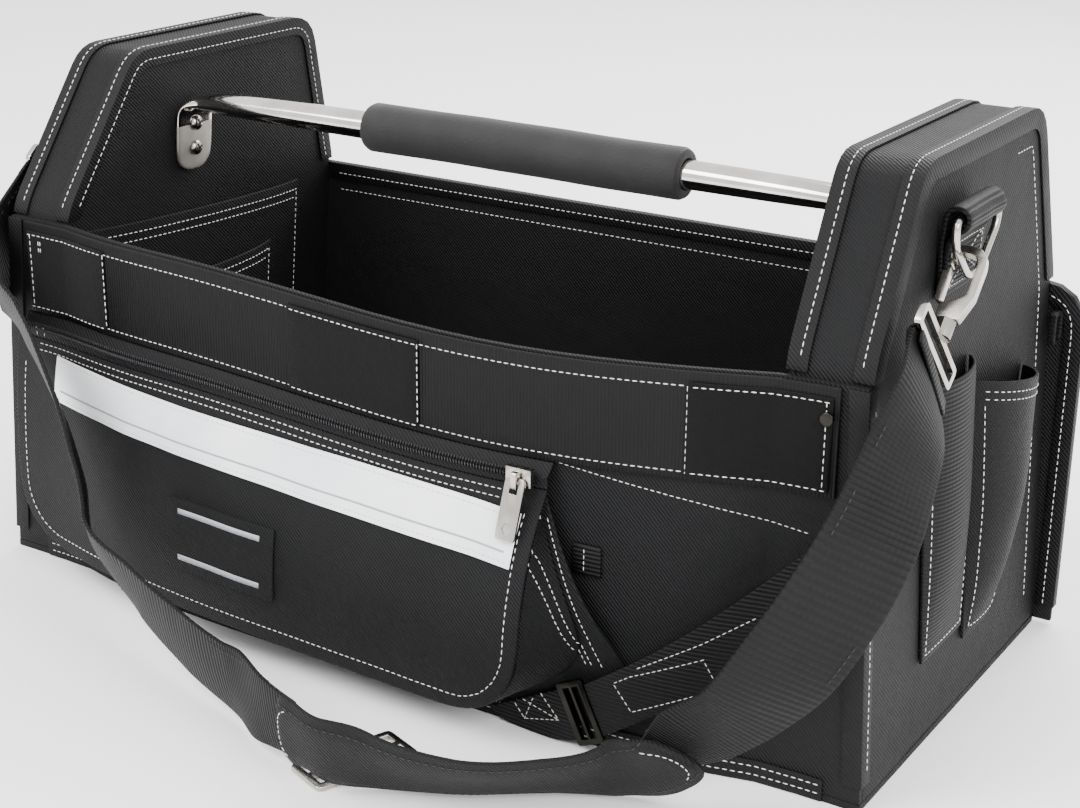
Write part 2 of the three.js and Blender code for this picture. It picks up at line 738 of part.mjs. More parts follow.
// The tube's end from the round down to the foot of the flattened plate. out is the distance from the
// tower's face, drop the depth below the tube's axis, turn the bend in radians and square its flatness.
const flatOut = gap + 0.1 + plateThickness / 2;
const down = Math.PI / 2;
const flat = { out: flatOut, turn: down, thick: plateThickness, square: 0.4 };
const tubeEnd = [
  { out: 20, drop: 0, turn: 0, thick: tubeDiameter, wide: tubeDiameter, square: 1 },
  { out: 12, drop: 0, turn: 0.1, thick: tubeDiameter * 0.6, wide: plateWidth * 0.7, square: 0.8 },
  { out: 5.5, drop: 1, turn: 0.5, thick: tubeDiameter * 0.3, wide: plateWidth * 0.93, square: 0.5 },
  { out: flatOut + 0.4, drop: 5, turn: 1.3, thick: plateThickness, wide: plateWidth, square: 0.4 },
  { ...flat, drop: 12, wide: plateWidth },
  { ...flat, drop: plateHeight * 0.8, wide: plateWidth },
  { ...flat, drop: plateHeight * 0.93, wide: plateWidth * 0.8 },
  { ...flat, drop: plateHeight, wide: plateWidth * 0.4 },
];

function handle() {
  const [leftTower, rightTower] = towers;
  const last = tubeEnd.length - 1;
  const rows = 2 * last + 1;
  const tube = new THREE.CylinderGeometry(1, 1, rows, 20, rows);
  moveVertices(tube, (p) => {
    const row = Math.round(p.y + rows / 2);
    const tower = row <= last ? leftTower : rightTower;
    const station = tubeEnd[row <= last ? last - row : row - last - 1];
    const radius = Math.min(Math.hypot(p.x, p.z), 1);
    const angle = Math.atan2(p.z, p.x);
    const squared = (value) => Math.sign(value) * Math.abs(value) ** station.square * radius / 2;
    const across = squared(Math.cos(angle)) * station.wide;
    const deep = squared(Math.sin(angle)) * station.thick;
    const z = handleZ - station.drop;
    p.set(innerFaceAt(tower, z) - tower.sign * (station.out - Math.sin(station.turn) * deep),
      handleY + across, z + Math.cos(station.turn) * deep);
  });
  add('handle_tube', tube, chrome);
  for (const tower of towers) {
    screwDrops.forEach((drop, k) => {
      const z = handleZ - drop;
      const face = innerFaceAt(tower, z) - tower.sign * (flatOut + plateThickness / 2 + 2 * gap);
      const head = new THREE.CylinderGeometry(screwDiameter / 2 * 0.7, screwDiameter / 2, screwHead, 12);
      head.rotateZ(tower.sign * Math.PI / 2);
      head.translate(face - tower.sign * screwHead / 2, handleY, z);
      add(`${tower.side}_screw_${k + 1}`, head, nickel);
    });
  }
  const bore = tubeDiameter / 2 + gap;
  const skin = gripDiameter / 2;
  const roll = 2;
  const profile = [
    [bore, -gripLength / 2], [skin - roll, -gripLength / 2], [skin, -gripLength / 2 + roll],
    [skin, gripLength / 2 - roll], [skin - roll, gripLength / 2], [bore, gripLength / 2],
    [bore, -gripLength / 2],
  ].map(([r, h]) => new THREE.Vector2(r, h));
  const grip = new THREE.LatheGeometry(profile, 24).rotateZ(-Math.PI / 2);
  grip.translate(gripCentreX, handleY, handleZ);
  add('handle_grip', grip, foam);
}

// Strap hardware

function outerFaceAt(tower, z) {
  const v = new THREE.Vector3(tower.sign * half, 0, z);
  splayOf(tower)(v);
  return v.x;
}

function hardware(tower) {
  const side = tower.side;
  const face = outerFaceAt(tower, ringTopZ - tabLength);
  const ringX = face + tower.sign * ringStandoff;
  const wide = (ringInner + ringWire) / 2;
  const bend = { upper: 11, lower: 7 };
  const corners = [
    { a: ringCentreY - wide, b: ringTopZ, r: 4 },
    { a: ringCentreY - wide, b: ringTopZ - bend.upper, r: 18 },
    { a: ringCentreY - bend.lower, b: ringTopZ - ringDrop, r: 14 },
    { a: ringCentreY + bend.lower, b: ringTopZ - ringDrop, r: 14 },
    { a: ringCentreY + wide, b: ringTopZ - bend.upper, r: 18 },
    { a: ringCentreY + wide, b: ringTopZ, r: 4 },
  ];
  const outer = roundedShape(corners, -ringWire / 2, 3);
  const hole = roundedShape(corners, ringWire / 2, 3);
  const ringSolid = toSolid(slabAlongX(outer, ringX - ringWire / 2, ringX + ringWire / 2))
    .subtract(toSolid(slabAlongX(hole, ringX - ringWire, ringX + ringWire)));
  add(`${side}_d_ring`, toGeometry(ringSolid), nickel);

  // The tab of webbing goes up the face behind the ring, over its bar and down in front of it
  const tabTop = ringTopZ + ringWire / 2 + gap;
  const front = ringX + tower.sign * (ringWire / 2 + gap);
  const back = face + tower.sign * gap;
  const block = (x0, x1, z0, z1) => toSolid(new THREE.BoxGeometry(Math.abs(x1 - x0), tabWidth, z1 - z0)
    .translate((x0 + x1) / 2, ringCentreY, (z0 + z1) / 2));
  const sheet = block(back, back + tower.sign * tabThickness, tabTop - tabLength, tabTop + tabThickness);
  const fold = block(back, front + tower.sign * tabThickness, tabTop, tabTop + tabThickness);
  const lip = block(front, front + tower.sign * tabThickness, ringTopZ - ringWire, tabTop + tabThickness);
  add(`${side}_ring_tab`, toGeometry(sheet.add(fold).add(lip)), webbing);

  // The snap hook hangs from the lower front bend of the ring and is pulled forward by the strap.
  // Its own frame: a across, b along from the swivel up to the crook, c through its thickness.
  const pull = hookPull * Math.PI / 180;
  const along = new THREE.Vector3(0, Math.sin(pull), Math.cos(pull));
  const across = new THREE.Vector3(tower.sign, 0, 0);
  const through = new THREE.Vector3().crossVectors(across, along);
  const wire = new THREE.Vector3(ringX, ringCentreY - (wide + bend.lower) / 2,
    ringTopZ - (bend.upper + ringDrop) / 2);
  const inside = hookWidth / 2 - hookWall;
  const clear = 5 * gap;
  const base = wire.clone().addScaledVector(along, -(hookLength - hookWall - ringWire / 2 - clear))
    .addScaledVector(across, hookOffset);
  const place = new THREE.Matrix4().makeBasis(across, along, through).setPosition(base);
  const hookShape = roundedShape([
    { a: -5, b: 0, r: 1 }, { a: 6, b: 0, r: 1 }, { a: hookWidth / 2, b: 12, r: 6 },
    { a: hookWidth / 2, b: hookLength, r: 9 }, { a: -hookWidth / 2, b: hookLength, r: 9 },
    { a: -hookWidth / 2, b: hookLength - 11, r: 1 }, { a: -inside, b: hookLength - 11, r: 1 },
    { a: -inside, b: hookLength - hookWall, r: 5 }, { a: inside, b: hookLength - hookWall, r: 5 },
    { a: inside, b: 13, r: 4 }, { a: -2, b: 8, r: 1 }, { a: -5, b: 8, r: 1 },
  ], 0, 3);
  const hookBody = new THREE.ExtrudeGeometry(hookShape, { depth: hookThickness, bevelEnabled: false });
  hookBody.translate(0, 0, -hookThickness / 2).applyMatrix4(place);
  add(`${side}_hook_body`, hookBody, nickel);
  const gateTop = hookLength - 11 - 3 * gap;
  const gateFoot = 8 + gap;
  const gateShape = roundedShape([
    { a: -hookWidth / 2 + 1, b: gateFoot, r: 2 }, { a: -inside + 0.5, b: gateFoot, r: 1 },
    { a: -inside, b: gateTop, r: 1 }, { a: -hookWidth / 2, b: gateTop, r: 1 },
  ], 0, 3);
  const gateDepth = hookThickness - 1;
  const gate = new THREE.ExtrudeGeometry(gateShape, { depth: gateDepth, bevelEnabled: false });
  gate.translate(0, 0, -gateDepth / 2).applyMatrix4(place);
  add(`${side}_hook_gate`, gate, nickel);

  // The swivel's barrel and the wide wire loop that the strap goes through
  const barrel = toSolid(new THREE.CylinderGeometry(4.5, 4.5, swivelLength, 12)
    .translate(0.5, -gap - swivelLength / 2, 0).applyMatrix4(place));
  const bar = new THREE.Vector3(tower.sign * 0.05, 0.64, -0.765).normalize();
  const loopDown = along.clone().addScaledVector(bar, -along.dot(bar)).normalize();
  const loopFace = new THREE.Vector3().crossVectors(bar, loopDown);
  const loopAt = base.clone().addScaledVector(along, -gap - swivelLength + 1);
  const loopPlace = new THREE.Matrix4().makeBasis(bar, loopDown, loopFace).setPosition(loopAt);
  const reach = loopWidth / 2 + loopWire;
  const deep = 12;
  const loopShape = rectangle(-reach, -deep, reach, 0, 3);
  const loopHole = rectangle(-reach + loopWire, -deep + loopWire, reach - loopWire, -loopWire, 1);
  const loop = new THREE.ExtrudeGeometry(loopShape, { depth: loopWire, bevelEnabled: false });
  const void3 = new THREE.ExtrudeGeometry(loopHole, { depth: 3 * loopWire, bevelEnabled: false });
  const frame = toSolid(loop.translate(0, 0, -loopWire / 2).applyMatrix4(loopPlace))
    .subtract(toSolid(void3.translate(0, 0, -1.5 * loopWire).applyMatrix4(loopPlace)));
  add(`${side}_hook_swivel`, toGeometry(barrel.add(frame)), nickel);
}

// Shoulder strap, as stations from the left hook down to the floor, along it and up to the right hook.
// They are read from the bag at its usual size. What lies low stays on the floor, the rest rises with the hooks.

const usual = { length: 524, depth: 244, ringTop: 270, lyingTop: 40, loopHeight: 210 };
const lengthShare = bagLength / usual.length;
const depthShare = bagDepth / usual.depth;
const hookRise = ringTopZ - usual.ringTop;

function placed(stations) {
  return stations.map((s) => {
    const raised = (s.z - usual.lyingTop) / (usual.loopHeight - usual.lyingTop);
    const rise = hookRise * Math.min(Math.max(raised, 0), 1);
    return { ...s, x: s.x * lengthShare, y: s.y * depthShare, z: s.z + rise };
  });
}

const leftStrap = [
  { x: -273.5, y: -81.8, z: 213.9, ex: 0.05, ey: -0.64, ez: 0.76 },
  { x: -273, y: -115, z: 188, ex: 0.12, ey: -0.65, ez: 0.62 },
  { x: -257, y: -142, z: 177, ex: 0.55, ey: -0.60, ez: 0.55 },
  { x: -228, y: -153, z: 160, ex: 0.72, ey: -0.60, ez: 0.42 },
  { x: -195, y: -165, z: 132, ex: 0.65, ey: -0.64, ez: 0.41 },
  { x: -166, y: -178, z: 94, ex: 0.60, ey: -0.68, ez: 0.43 },
  { x: -143, y: -194, z: 66, ex: 0.66, ey: -0.62, ez: 0.41 },
  { x: -101, y: -207, z: 50, ex: 0.74, ey: -0.48, ez: 0.47 },
  { x: -60, y: -216, z: 37, ex: 0.62, ey: -0.40, ez: 0.66 },
  { x: -20, y: -226, z: 30, ex: 0.66, ey: -0.40, ez: 0.64 },
  { x: 7, y: -236, z: 29, ex: 0.56, ey: -0.30, ez: 0.76 },
  { x: 38, y: -243.9, z: 28.2, ex: 0.54, ey: -0.29, ez: 0.78 },
];
const padStations = [
  { x: 33, y: -254, z: 36, ex: 0.00, ey: -0.30, ez: 0.94, width: 26 },
  { x: 42, y: -254, z: 34, ex: -0.04, ey: -0.35, ez: 0.92, width: 44 },
  { x: 57, y: -252, z: 29, ex: -0.05, ey: -0.42, ez: 0.88 },
  { x: 78, y: -241, z: 23, ex: 0.14, ey: -0.50, ez: 0.85 },
  { x: 118, y: -224, z: 20, ex: 0.28, ey: -0.62, ez: 0.73 },
  { x: 152, y: -200, z: 20, ex: 0.34, ey: -0.58, ez: 0.74 },
  { x: 176, y: -184, z: 23, ex: 0.20, ey: -0.48, ez: 0.83 },
  { x: 195, y: -181, z: 31, ex: -0.10, ey: -0.56, ez: 0.80 },
  { x: 205, y: -180, z: 40, ex: -0.28, ey: -0.60, ez: 0.72, width: 40 },
];
const rightStrap = [
  { x: 197, y: -174, z: 34, ex: -0.22, ey: -0.60, ez: 0.76 },
  { x: 210, y: -171, z: 46, ex: -0.35, ey: -0.62, ez: 0.66 },
  { x: 232, y: -168, z: 64, ex: -0.42, ey: -0.66, ez: 0.62 },
  { x: 258, y: -166, z: 102, ex: -0.55, ey: -0.49, ez: 0.67 },
  { x: 279, y: -150, z: 152, ex: -0.50, ey: -0.60, ez: 0.60 },
  { x: 283, y: -131, z: 182, ex: -0.36, ey: -0.62, ez: 0.68 },
  { x: 283, y: -113, z: 198, ex: -0.25, ey: -0.58, ez: 0.76 },
  { x: 273.5, y: -85.5, z: 210.3, ex: -0.05, ey: -0.64, ez: 0.76 },
];

// The flat tri-glide under the pad's raised end
const strapGlide = { x: 47, y: -215, turn: 1.215, width: 27, bar: 4, thickness: 2.5 };

function shoulderStrap() {
  add('shoulder_strap_left', ribbon(placed(leftStrap), webbingWidth, webbingThickness, 34), webbing);
  add('strap_pad', ribbon(placed(padStations), webbingWidth + 2, padThickness, 24), twill);
  add('shoulder_strap_right', ribbon(placed(rightStrap), webbingWidth, webbingThickness, 28), webbing);
  const glide = strapGlide;
  const long = webbingWidth / 2 + glide.bar;
  const slot = glide.width / 2 - glide.bar;
  const plate = piercedPlate(rectangle(-long, -glide.width / 2, long, glide.width / 2, 3), [
    rectangle(-webbingWidth / 2, -slot, webbingWidth / 2, -glide.bar / 2),
    rectangle(-webbingWidth / 2, glide.bar / 2, webbingWidth / 2, slot),
  ], glide.thickness);
  plate.rotateZ(glide.turn);
  plate.translate(glide.x * lengthShare, glide.y * depthShare, floorRest + glide.thickness / 2);
  add('strap_slider', plate, nickel);
}

// Pockets on the towers

// How far a pouch's inside stands off the face at shares u across and w up
function pouchOut(form, u, w) {
  const across = Math.sin(Math.min(Math.max(u, 0), 1) * Math.PI) ** 0.6;
  const up = Math.min(Math.max(w, 0) * 2.2, 1) ** 0.8;
  return gap + form.belly * across * up;
}

// A cloth pouch on a tower's face, tight at its sides and foot and open at its top.
// It hangs from z1 down to z0 and narrows from y0..y1 at the top to foot0..foot1 at the bottom.
function pouch(name, faceAt, form, material) {
  add(name, bentBox({ u: 10, v: 1, w: 6 }, (u, v, w) => {
    const y = mix(mix(form.foot0, form.y0, w), mix(form.foot1, form.y1, w), u);
    const z = mix(form.z0, form.z1 - (form.slope ?? 0) * u, w);
    let out = pouchOut(form, u, w);
    if (form.on) {
      const under = form.on;
      const across = (y - under.y0) / (under.y1 - under.y0);
      out += pouchCloth + pouchOut(under, across, (z - under.z0) / (under.z1 - under.z0));
    }
    return new THREE.Vector3(faceAt(z) + out + v * pouchCloth, y, z);
  }), material);
}

const webbingSleeve = { y0: -60, y1: -2, foot0: -54, foot1: -2, z0: 48, z1: 192, belly: 9 };
const rulePocket = { y0: 0, y1: 78, foot0: 2, foot1: 40, z0: 38, z1: 178, belly: 17, slope: 14 };
const tallPocket = { y0: -108, y1: 84, foot0: -108, foot1: 84, z0: 40, z1: 202, belly: 8, slope: 8 };
const lowPocket = {
  y0: -108, y1: 48, foot0: -108, foot1: 48, z0: 30, z1: 163, belly: 8, on: tallPocket,
};

function endPockets() {
  const right = towers[1];
  const left = towers[0];
  pouch('webbing_sleeve', (z) => outerFaceAt(right, z), webbingSleeve, webbing);
  pouch('rule_pocket', (z) => outerFaceAt(right, z), rulePocket, twill);
  pouch('inner_pocket_tall', (z) => innerFaceAt(left, z), tallPocket, twill);
  pouch('inner_pocket_low', (z) => innerFaceAt(left, z), lowPocket, twill);
  const ring = piercedPlate(rectangle(-6, -9, 6, 9, 4), [rectangle(-4, -7, 4, 7, 3)], 4)
    .rotateX(Math.PI / 2).rotateZ(Math.PI / 2);
  ring.translate(half + 8, backFace - wall - bindingThickness - 3 * gap - 6, 176);
  add('clip_loop', ring, webbing);
}

basePanel();
frontWall();
backWall();
baseBinding();
for (const tower of towers) {
  towerPanels(tower);
  towerBinding(tower, 'inner', innerHalf, 1);
  towerBinding(tower, 'outer', half, -1);
  cornerBinding(tower);
}
frontBand();
sawSleevePanel();
zipPocketPanel();
zipPocketGusset();
zipTape();
zipSlider();
zipPull();
stripeAndLabel();
sawStrap();
handle();
for (const tower of towers) hardware(tower);
shoulderStrap();
endPockets();

export default group;
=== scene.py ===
import math

import bmesh
import bpy
from mathutils import Matrix, Vector, noise
from mathutils.bvhtree import BVHTree

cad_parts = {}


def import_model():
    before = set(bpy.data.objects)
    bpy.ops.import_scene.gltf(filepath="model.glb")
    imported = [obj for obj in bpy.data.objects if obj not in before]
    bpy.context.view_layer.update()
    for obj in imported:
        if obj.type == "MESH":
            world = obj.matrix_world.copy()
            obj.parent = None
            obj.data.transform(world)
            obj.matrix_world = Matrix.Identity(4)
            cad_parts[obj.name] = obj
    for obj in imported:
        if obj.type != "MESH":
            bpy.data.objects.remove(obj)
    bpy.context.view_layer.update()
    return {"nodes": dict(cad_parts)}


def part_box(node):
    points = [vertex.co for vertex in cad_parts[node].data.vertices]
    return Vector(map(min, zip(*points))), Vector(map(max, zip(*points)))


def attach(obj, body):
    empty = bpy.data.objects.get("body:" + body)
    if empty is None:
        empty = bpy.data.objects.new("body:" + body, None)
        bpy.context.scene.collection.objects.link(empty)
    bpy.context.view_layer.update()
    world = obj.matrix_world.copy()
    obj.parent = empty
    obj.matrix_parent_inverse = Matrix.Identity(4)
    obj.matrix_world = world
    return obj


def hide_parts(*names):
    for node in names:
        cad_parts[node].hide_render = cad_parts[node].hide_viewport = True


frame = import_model()
nodes = frame["nodes"]
mm = 0.001
print("frame loaded", len(nodes), "nodes")


# Colours, nodes and materials

def linear(code):  # sRGB hex to the linear colour that a shader takes
    parts = [int(code[i:i + 2], 16) / 255 for i in (1, 3, 5)]
    return [p / 12.92 if p <= 0.04045 else ((p + 0.055) / 1.055) ** 2.4 for p in parts] + [1.0]


def addNode(tree, kind, settings=None, links=None):
    node = tree.nodes.new(kind)
    for key, value in (settings or {}).items():
        if isinstance(key, int) or key in node.inputs.keys():
            node.inputs[key].default_value = value
        else:
            setattr(node, key, value)
    for key, socket in (links or {}).items():
        tree.links.new(socket, node.inputs[key])
    return node


def startMaterial(name, shader, source="Object", stretch=(1, 1, 1)):
    material = bpy.data.materials.new(name)
    material.use_nodes = True
    tree = material.node_tree
    tree.nodes.clear()
    coords = addNode(tree, "ShaderNodeTexCoord")
    place = addNode(tree, "ShaderNodeMapping", {"Scale": stretch}, {"Vector": coords.outputs[source]})
    surface = addNode(tree, "ShaderNodeBsdfPrincipled", shader)
    addNode(tree, "ShaderNodeOutputMaterial", links={"Surface": surface.outputs["BSDF"]})
    return material, tree, surface, place.outputs["Vector"]


def rampOf(tree, factor, stops):
    ramp = addNode(tree, "ShaderNodeValToRGB", links={"Fac": factor})
    first, last = ramp.color_ramp.elements
    first.position, first.color = stops[0][0], linear(stops[0][1])
    last.position, last.color = stops[-1][0], linear(stops[-1][1])
    for position, code in stops[1:-1]:
        ramp.color_ramp.elements.new(position).color = linear(code)
    return ramp.outputs["Color"]


def blend(tree, factor, first, second, how="MIX"):
    mix = addNode(tree, "ShaderNodeMix", {"data_type": "RGBA", "blend_type": how, 0: factor})
    tree.links.new(first, mix.inputs[6])
    tree.links.new(second, mix.inputs[7])
    return mix.outputs[2]


def bumpInto(tree, surface, heights):
    # Heights are (socket, millimetres) pairs, each laid on the one before
    normal = None
    for socket, depth in heights:
        links = {"Height": socket}
        if normal:
            links["Normal"] = normal
        bump = addNode(tree, "ShaderNodeBump", {"Strength": 1.0, "Distance": depth * mm}, links)
        normal = bump.outputs["Normal"]
    tree.links.new(normal, surface.inputs["Normal"])


def bandScale(spacing):  # Wave scale for straight bands that are spacing millimetres apart
    return 2 * math.pi / (20 * spacing * mm)


def noiseAt(tree, vector, size, detail=3.0, rough=0.55):  # size in millimetres
    return addNode(tree, "ShaderNodeTexNoise", {
        "Scale": 1 / (size * mm), "Detail": detail, "Roughness": rough}, {"Vector": vector}).outputs["Fac"]


def cellsAt(tree, vector, size):  # distance inside round cells, size in millimetres
    cells = addNode(tree, "ShaderNodeTexVoronoi", {"Scale": 1 / (size * mm)}, {"Vector": vector})
    return cells.outputs["Distance"]


twillLook = {"rib": 1.7, "dark": "#020203", "mid": "#0c0c0e", "light": "#131315", "dust": 26}


def twill():
    # 600 denier polyester twill: fine diagonal ribs, dull, with a pale bloom where it is rubbed.
    # The real ribs are about 0.7 mm apart and are drawn wider so that they show.
    look = twillLook
    material, tree, surface, at = startMaterial("black_polyester_twill", {
        "Roughness": 0.66, "Specular IOR Level": 0.2})
    ribs = addNode(tree, "ShaderNodeTexWave", {
        "bands_direction": "DIAGONAL", "Scale": bandScale(look["rib"]) * math.sqrt(2), "Distortion": 1.2,
        "Detail": 2.0, "Detail Scale": 2.5}, {"Vector": at}).outputs["Fac"]
    grain = noiseAt(tree, at, 0.9, 2.0)
    cloud = noiseAt(tree, at, look["dust"], 4.0)
    threads = rampOf(tree, ribs, [(0.25, look["dark"]), (0.85, look["mid"])])
    worn = rampOf(tree, cloud, [(0.4, look["mid"]), (0.75, look["light"])])
    tree.links.new(blend(tree, 0.3, threads, worn), surface.inputs["Base Color"])
    bumpInto(tree, surface, [(cloud, 1.2), (ribs, 0.3), (grain, 0.2)])
    return material


def ribbed(name, axis, spacing, source="Object", stretch=(1, 1, 1),
           colours=("#020203", "#0a0a0b"), depth=0.3):
    # Woven webbing: heavy cross ribs, dull and nearly black, with finer threads across them
    material, tree, surface, at = startMaterial(name, {
        "Roughness": 0.58, "Specular IOR Level": 0.18}, source, stretch)
    ribs = addNode(tree, "ShaderNodeTexWave", {
        "bands_direction": axis, "Scale": bandScale(spacing), "Distortion": 0.5, "Detail": 1.0,
        "Detail Scale": 3.0}, {"Vector": at}).outputs["Fac"]
    across = addNode(tree, "ShaderNodeTexWave", {
        "bands_direction": "Y" if axis == "Z" or source == "UV" else "Z",
        "Scale": bandScale(spacing * 1.3), "Distortion": 0.4}, {"Vector": at}).outputs["Fac"]
    grain = noiseAt(tree, at, 1.1, 3.0)
    threads = rampOf(tree, ribs, [(0.15, colours[0]), (0.9, colours[1])])
    mottled = rampOf(tree, noiseAt(tree, at, 14, 4.0), [(0.35, colours[0]), (0.7, colours[1])])
    tree.links.new(blend(tree, 0.3, threads, mottled), surface.inputs["Base Color"])
    bumpInto(tree, surface, [(ribs, depth), (across, depth * 0.12), (grain, 0.1)])
    return material


def plush():
    # Brushed loop fabric: matt, darker than the webbing, with a fuzzy pile
    material, tree, surface, at = startMaterial("brushed_loop_fabric", {
        "Roughness": 0.95, "Specular IOR Level": 0.15, "Sheen Weight": 0.03, "Sheen Roughness": 0.6})
    pile = noiseAt(tree, at, 0.8, 4.0, 0.7)
    clump = noiseAt(tree, at, 3.5, 3.0)
    tree.links.new(rampOf(tree, pile, [(0.35, "#010102"), (0.7, "#09090a")]), surface.inputs["Base Color"])
    bumpInto(tree, surface, [(clump, 0.5), (pile, 0.5)])
    return material


def reflective():
    # Glass bead reflective tape: silvery white, with a faint weave from the cloth under it
    material, tree, surface, at = startMaterial("glass_bead_tape", {
        "Roughness": 0.42, "Specular IOR Level": 0.5, "Sheen Weight": 0.2})
    weave = cellsAt(tree, at, 1.6)
    cloud = noiseAt(tree, at, 60, 3.0)
    tree.links.new(rampOf(tree, cloud, [(0.3, "#dfe4ea"), (0.7, "#fbfcfd")]), surface.inputs["Base Color"])
    bumpInto(tree, surface, [(cloud, 1.0), (weave, 0.05)])
    return material


def plainCoat(name, code, roughness, grainSize, depth, second=None, specular=0.4):
    # Thread, print or moulded plastic: one colour, broken up by its own fine grain
    material, tree, surface, at = startMaterial(name, {
        "Roughness": roughness, "Specular IOR Level": specular})
    grain = noiseAt(tree, at, grainSize, 3.0)
    tree.links.new(rampOf(tree, grain, [(0.3, code), (0.75, second or code)]), surface.inputs["Base Color"])
    bumpInto(tree, surface, [(grain, depth)])
    return material


def foam():
    # Closed cell rubber foam: soft charcoal skin with fine pores
    material, tree, surface, at = startMaterial("closed_cell_foam", {
        "Roughness": 0.7, "Specular IOR Level": 0.35, "Sheen Weight": 0.1})
    pores = cellsAt(tree, at, 1.3)
    cloud = noiseAt(tree, at, 18, 4.0)
    tree.links.new(rampOf(tree, cloud, [(0.3, "#0b0b0c"), (0.75, "#161618")]), surface.inputs["Base Color"])
    bumpInto(tree, surface, [(cloud, 0.4), (pores, 0.12)])
    return material


def metal(name, codes, roughness, scratch):
    # Plated steel: bright, with hairline scratches that break up the reflections
    material, tree, surface, at = startMaterial(name, {"Metallic": 1.0})
    streak = addNode(tree, "ShaderNodeTexNoise", {"Scale": 1 / (6 * mm), "Detail": 6.0}, {"Vector": at})
    cloud = noiseAt(tree, at, 30, 3.0)
    tree.links.new(rampOf(tree, cloud, [(0.3, codes[0]), (0.7, codes[1])]), surface.inputs["Base Color"])
    rough = addNode(tree, "ShaderNodeMapRange", {"To Min": roughness * 0.7, "To Max": roughness * 1.5},
                    {"Value": streak.outputs["Fac"]})
    tree.links.new(rough.outputs["Result"], surface.inputs["Roughness"])
    bumpInto(tree, surface, [(streak.outputs["Fac"], scratch)])
    return material


cloth = twill()
bandWebbing = ribbed("polypropylene_webbing_upright_ribs", "X", 1.9)
levelWebbing = ribbed("polypropylene_webbing_level_ribs", "Z", 2.2, depth=0.4)
grosgrain = ribbed("polyester_grosgrain_tape", "DIAGONAL", 1.4, colours=("#030304", "#0f0f11"), depth=0.2)
pile = plush()
tapeWhite = reflective()
thread = plainCoat("polyester_thread", "#b9b7b2", 0.7, 0.5, 0.05, "#e2e0db")
darkThread = plainCoat("black_polyester_thread", "#1a1a1c", 0.6, 0.5, 0.05, "#2c2c30")
foamSkin = foam()
chrome = metal("chromed_steel_tube", ("#b9b4ae", "#dcd9d5"), 0.1, 0.01)
nickel = metal("nickel_plated_steel", ("#9a958e", "#c4bfb8"), 0.2, 0.008)
gunmetal = metal("blackened_steel", ("#1c1b1a", "#34322f"), 0.3, 0.03)
brushed = metal("brushed_steel_plate", ("#a8a29b", "#d2cdc6"), 0.42, 0.02)
coilPlastic = plainCoat("moulded_nylon_coil", "#121214", 0.35, 0.7, 0.05, "#1f1f22", 0.5)
greyPrint = plainCoat("grey_screen_print", "#8b8f94", 0.5, 0.8, 0.05, "#a7abb0")
darkCavity = plainCoat("shadowed_steel", "#101011", 0.5, 1.0, 0.02)
print("materials made")


# Making pieces

def copyOf(node):  # The CAD node's mesh, with its loose triangles joined and flat faces made whole
    bm = bmesh.new()
    bm.from_mesh(nodes[node].data)
    bmesh.ops.remove_doubles(bm, verts=bm.verts, dist=2e-6)
    bmesh.ops.dissolve_limit(bm, angle_limit=math.radians(0.6), verts=bm.verts, edges=bm.edges)
    return bm


def quadsOf(node, bend, skew):  # The CAD node's mesh, with pairs of its triangles made quads again
    bm = bmesh.new()
    bm.from_mesh(nodes[node].data)
    bmesh.ops.remove_doubles(bm, verts=bm.verts, dist=2e-6)
    bmesh.ops.join_triangles(bm, faces=bm.faces, angle_face_threshold=math.radians(bend),
                             angle_shape_threshold=math.radians(skew))
    return bm


def cutAlong(bm, axis, spacing):
    values = [v.co[axis] for v in bm.verts]
    low, high = min(values), max(values)
    count = max(int((high - low) / (spacing * mm)), 1)
    direction = Vector([1.0 if k == axis else 0.0 for k in range(3)])
    for k in range(1, count):
        place = direction * (low + (high - low) * k / count)
        bmesh.ops.bisect_plane(bm, geom=bm.verts[:] + bm.edges[:] + bm.faces[:], dist=1e-6,
                               plane_co=place, plane_no=direction)


def makePiece(bm, name, material, stands=(), body="root", sharp=35):
    mesh = bpy.data.meshes.new(name)
    bm.to_mesh(mesh)
    bm.free()
    mesh.materials.append(material)
    mesh.shade_smooth()
    mesh.set_sharp_from_angle(angle=math.radians(sharp))
    piece = bpy.data.objects.new(name, mesh)
    bpy.context.scene.collection.objects.link(piece)
    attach(piece, body)
    if stands:
        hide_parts(*stands)
    return piece


def settle(piece):  # Applies the piece's modifiers
    bpy.context.view_layer.update()
    ready = piece.evaluated_get(bpy.context.evaluated_depsgraph_get())
    mesh = bpy.data.meshes.new_from_object(ready)
    piece.modifiers.clear()
    piece.data = mesh
    return piece


def soften(piece, width, segments=2, levels=0, angle=30):
    bevel = piece.modifiers.new("round", "BEVEL")
    bevel.width = width * mm
    bevel.segments = segments
    bevel.limit_method = "ANGLE"
    bevel.angle_limit = math.radians(angle)
    bevel.harden_normals = False
    if levels:
        smooth = piece.modifiers.new("smooth", "SUBSURF")
        smooth.levels = smooth.render_levels = levels
    settle(piece)
    piece.data.shade_smooth()
    if not levels:
        piece.data.set_sharp_from_angle(angle=math.radians(50))
    return piece


def thicken(piece, thickness):  # Gives a surface a thickness in millimetres, half of it on each side
    solid = piece.modifiers.new("thick", "SOLIDIFY")
    solid.thickness = thickness * mm
    solid.offset = 0


def ripple(piece, push, waves, keep=None):
    # Shifts both sides of a sheet together along push; waves are (size mm, depth mm) pairs
    direction = Vector(push)
    for v in piece.data.vertices:
        shift = 0.0
        for k, (size, depth) in enumerate(waves):
            place = Vector(v.co) - direction * v.co.dot(direction)
            shift += noise.noise(place / (size * mm) + Vector((k * 7.3, 1.7, 3.1))) * depth * mm
        if keep:
            shift *= keep(v.co)
        v.co += direction * shift
    piece.data.update()
    return piece


